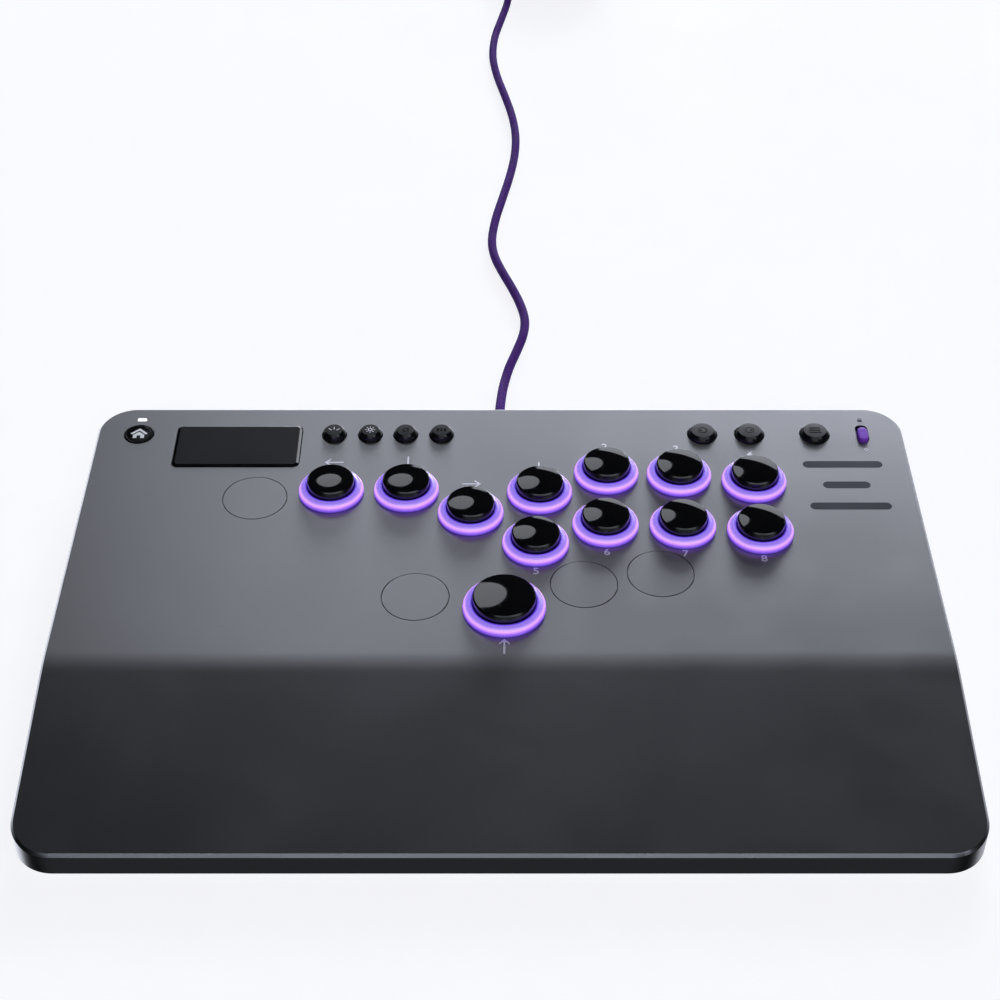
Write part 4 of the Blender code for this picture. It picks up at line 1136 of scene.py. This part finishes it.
def plug_piece(name, mats, base, along, mould, tip, replaced):
    """Moulded plug with a grooved, tapered relief behind it and a plated tip in front."""
    width, length, height = mould
    turn = Matrix.Rotation(atan2(along[1], along[0]) - pi / 2, 4, "Z")
    stand = turn @ Matrix.Rotation(-pi / 2, 4, "X")
    outline = section((width, height), height * 0.35, 8)
    body = bmesh.new()
    ease = 0.8 * MM
    levels = ((1, 0.0), (0.3, 0.15 * ease), (0, ease), (0, length - 4 * ease),
        (0.35, length - 1.6 * ease), (1.2, length - 0.4 * ease), (1.9, length))
    stack(body, [(outline(-shrink * ease), z) for shrink, z in levels])
    profile = [(0, length - 1.0 * MM)]
    for i in range(5):
        start = length - 0.2 * MM + i * 1.7 * MM
        radius = (3.3 - 0.1 * i) * MM
        profile += [(radius, start), (radius, start + 1.1 * MM)]
        if i < 4:
            profile += [(radius - 0.45 * MM, start + 1.2 * MM),
                (radius - 0.45 * MM, start + 1.6 * MM)]
    profile.append((2.9 * MM, length + 8.5 * MM))
    profile.append((0, length + 8.5 * MM))
    relief = bmesh.new()
    spin(relief, profile, 40)
    grips = bmesh.new()
    for i in range(4):
        middle = length * 0.42 + i * 1.9 * MM
        for side in (-1, 1):
            high = side * (height / 2 + 1 * MM)
            near = side * (height / 2 - 0.25 * MM)
            box(grips, (-width * 0.28, min(high, near), middle),
                (width * 0.28, max(high, near), middle + 0.8 * MM))
    mesh = cut(mesh_from(name, body, [mats["mould"]]), [(CARVE, grips), (JOIN, relief)], 32)
    mesh.transform(stand)
    shell = piece(f"{name}_fine", mesh, "case", base, [replaced])
    metal = bmesh.new()
    width, length, height = tip
    outline = section((width, height), height * 0.3, 6)
    stack(metal, [(outline(-0.25 * MM), -length), (outline(0), 0.3 * MM - length),
        (outline(0), 0.5 * MM)])
    mouth = bmesh.new()
    stack(mouth, [(outline(-0.45 * MM), -length - 1 * MM), (outline(-0.45 * MM), -length * 0.35)])
    metal_mesh = cut(mesh_from(f"{name}_tip", metal, [mats["plated"]]), [(CARVE, mouth)], 32)
    metal_mesh.transform(stand)
    nose = piece(f"{name}_tip", metal_mesh, "case", base)
    return [shell, nose]


TIE_HALF_WIDTH = 6.0


def build_tie(mats, angle):
    """Strap round the coil's section, lying under, over and both sides of the turns."""
    inner = rounded((27.5, 10.9), (20.6, 20.4), 3.0, 8)
    outer = rounded((27.5, 10.95), (22.0, 21.9), 3.6, 8)
    bm = bmesh.new()
    half = TIE_HALF_WIDTH
    rings = []
    for outline, y in ((outer, -half), (outer, half), (inner, half), (inner, -half)):
        rings.append([bm.verts.new((x * MM, y * MM, z * MM)) for x, z in outline])
    walls(bm, rings + rings[:1])
    flap = bmesh.new()
    box(flap, (25 * MM, -half * MM, 21.7 * MM), (34 * MM, half * MM, 22.4 * MM))
    mesh = cut(mesh_from("tie", bm, [mats["tie"]]), [(JOIN, flap)])
    mesh.transform(Matrix.Rotation(radians(angle), 4, "Z"))
    return piece("cord_tie", mesh, "case", COIL_CENTRE)


def build_cord(mats):
    route = [Vector(p) * MM for p in CORD_ROUTE]
    coil = coil_points()
    tail = tail_points()
    controls = route + coil + tail
    path = smooth(controls, 3)
    cord = piece("cord_braided", tube_mesh("cord_braided", path, CORD_RADIUS, 18, mats["braid"]),
        "case", replaced=["cord_run", "cord_coil", "cord_tail"])
    near = plug_piece("plug_device", mats, Vector((0, PLUG_START_Y, PLUG_Z)), (0, 1),
        (12.0 * MM, 17.0 * MM, 6.5 * MM), (8.3 * MM, 6.5 * MM, 2.4 * MM), "plug_device")
    reach = Vector((GAP + 8.5 * MM + 24 * MM, 0, 0))
    far = plug_piece("plug_far_end", mats, tail[-1] + reach, (-1, 0),
        (15.5 * MM, 24 * MM, 8.0 * MM), (12.0 * MM, 18.5 * MM, 4.5 * MM), "plug_far_end")
    tie = build_tie(mats, -20)


# ---- studio

CAMERA_PLACE = (0, -0.6409, 0.63735)
CAMERA_TILT = radians(49.14)
CAMERA_LENS = 70.43
CAMERA_SENSOR = 36.0
FLOOR_RADIUS = 40.0
FLOOR_THICKNESS = 0.02


def build_floor():
    bm = bmesh.new()
    prism(bm, circle((0, 0), FLOOR_RADIUS, 64), -FLOOR_THICKNESS, 0.0)
    material, parts = finish("studio_floor", (0.26, 0.26, 0.265), (0.30, 0.30, 0.305), (0.75, 0.9),
        grain=(60, 0.01), tone_scale=2)
    set_inputs(parts["shader"], Emission_Color=(0.97, 0.97, 1.0, 1.0), Emission_Strength=0.85,
        Specular_IOR_Level=0.1)
    floor = linked("studio_floor", mesh_from("studio_floor", bm, [material]))
    floor.visible_glossy = False
    floor.visible_diffuse = False


AMBIENT = 0.004
# Lights in front, as ranges of the direction's x and y, how soft each edge is, and power
FRONT_CARDS = [((-0.36, 0.69), (-0.60, -0.30), (0.10, 0.04), 1.9),
    ((-0.42, 0.42), (-0.76, -0.62), (0.10, 0.02), 0.75),
    ((-0.25, 0.35), (-0.92, -0.80), (0.08, 0.03), 1.0)]
# Lights behind, as ranges of azimuth and elevation in degrees, and power
REAR_STRIPS = [((-20, -7), (2, 12), 1.9), ((-7, 7), (2, 12), 14.0), ((-7, 7), (12, 22), 8.6),
    ((7, 20), (12, 22), 25.0), ((28, 40), (12, 30), 4.0), ((30, 60), (-8, 4), 0.5),
    ((-60, -30), (-8, 4), 0.5)]
LIGHT_TINT = (0.95, 0.985, 1.07)


def build_world():
    """Dim room with softboxes behind the panel, drawn by direction: azimuth from +Y and
    elevation, both in degrees."""
    world = bpy.data.worlds.new("studio")
    bpy.context.scene.world = world
    world.use_nodes = True
    tree = world.node_tree
    background = tree.nodes["Background"]
    direction = add_node(tree, "TexCoord").outputs["Generated"]
    split = add_node(tree, "SeparateXYZ", {"Vector": direction})
    x, y, z = (split.outputs[k] for k in "XYZ")
    elevation = maths(tree, "DEGREES", maths(tree, "ARCSINE", z))
    azimuth = maths(tree, "DEGREES", maths(tree, "ARCTAN2", x, y))

    def window(value, low, high, edge):
        rise = remap(tree, value, low - edge, low + edge)
        fall = remap(tree, value, high - edge, high + edge, 1.0, 0.0)
        return times(tree, rise, fall)

    def ellipse(centre, size, edge):
        across = maths(tree, "DIVIDE", maths(tree, "SUBTRACT", azimuth, centre[0]), size[0])
        upward = maths(tree, "DIVIDE", maths(tree, "SUBTRACT", elevation, centre[1]), size[1])
        away = maths(tree, "ADD", maths(tree, "POWER", maths(tree, "ABSOLUTE", across), 2.0),
            maths(tree, "POWER", maths(tree, "ABSOLUTE", upward), 2.0))
        return remap(tree, away, 1 + edge, 1 - edge)

    slanted = maths(tree, "SUBTRACT", elevation, times(tree, azimuth, 0.40))
    panel = times(tree, remap(tree, slanted, 27.4, 26.6), window(azimuth, 0.0, 30.0, 1.0))
    panel = times(tree, panel, window(elevation, 22.0, 44.0, 1.0))
    blob = ellipse((-7.6, 43.2), (8.8, 7.5), 0.06)
    above = remap(tree, z, 0.0, 0.1)
    below = remap(tree, z, -0.02, -0.1)
    under_front = times(tree, remap(tree, y, -0.46, -0.56), below)
    under_side = times(tree, remap(tree, y, 0.06, 0.22), below)
    under_side = times(tree, under_side, remap(tree, x, 0.3, -0.3, 1.0, 2.0))
    lights = [(AMBIENT, 1.0), (blob, 1.5), (panel, 1.75), (under_front, 0.07), (under_side, 1.0)]
    for across, forward, (edge_x, edge_y), power in FRONT_CARDS:
        card = times(tree, window(x, *across, edge_x), window(y, *forward, edge_y))
        lights.append((times(tree, card, above), power))
    for azimuths, elevations, power in REAR_STRIPS:
        strip = times(tree, window(azimuth, *azimuths, 1.5), window(elevation, *elevations, 1.5))
        lights.append((strip, power))
    total = None
    for mask, power in lights:
        part = times(tree, mask, power)
        total = part if total is None else maths(tree, "ADD", total, part)
    tinted = add_node(tree, "VectorMath", {0: LIGHT_TINT, "Scale": total}, operation="SCALE")
    tree.links.new(tinted.outputs[0], background.inputs["Color"])
    background.inputs["Strength"].default_value = 1.0


def build_camera():
    camera = linked("camera", bpy.data.cameras.new("camera"))
    camera.location = CAMERA_PLACE
    camera.rotation_euler = (CAMERA_TILT, 0, 0)
    camera.data.lens = CAMERA_LENS
    camera.data.sensor_width = CAMERA_SENSOR
    bpy.context.scene.camera = camera


def carry_over(mats):
    """Inner nodes that keep their CAD shape take the finer materials."""
    finishes = {"main_board": "circuit", "function_board": "circuit", "usb_socket": "plated"}
    for number in range(1, 4):
        finishes[f"board_screw_{number}"] = "screw"
    for name, key in finishes.items():
        for slot in bpy.data.objects[name].material_slots:
            slot.material = mats[key]


def build():
    bpy.context.scene.view_settings.view_transform = "Standard"
    build_camera()
    build_world()
    build_floor()
    mats = make_materials()
    build_cord(mats)
    build_case(mats)
    build_base(mats)
    build_feet(mats)
    build_screws(mats)
    build_buttons(mats)
    build_blanks(mats)
    build_keys(mats)
    build_touchpad(mats)
    build_light_pipe(mats)
    build_slider(mats)
    build_labels(mats)
    build_icons(mats)
    carry_over(mats)


build()
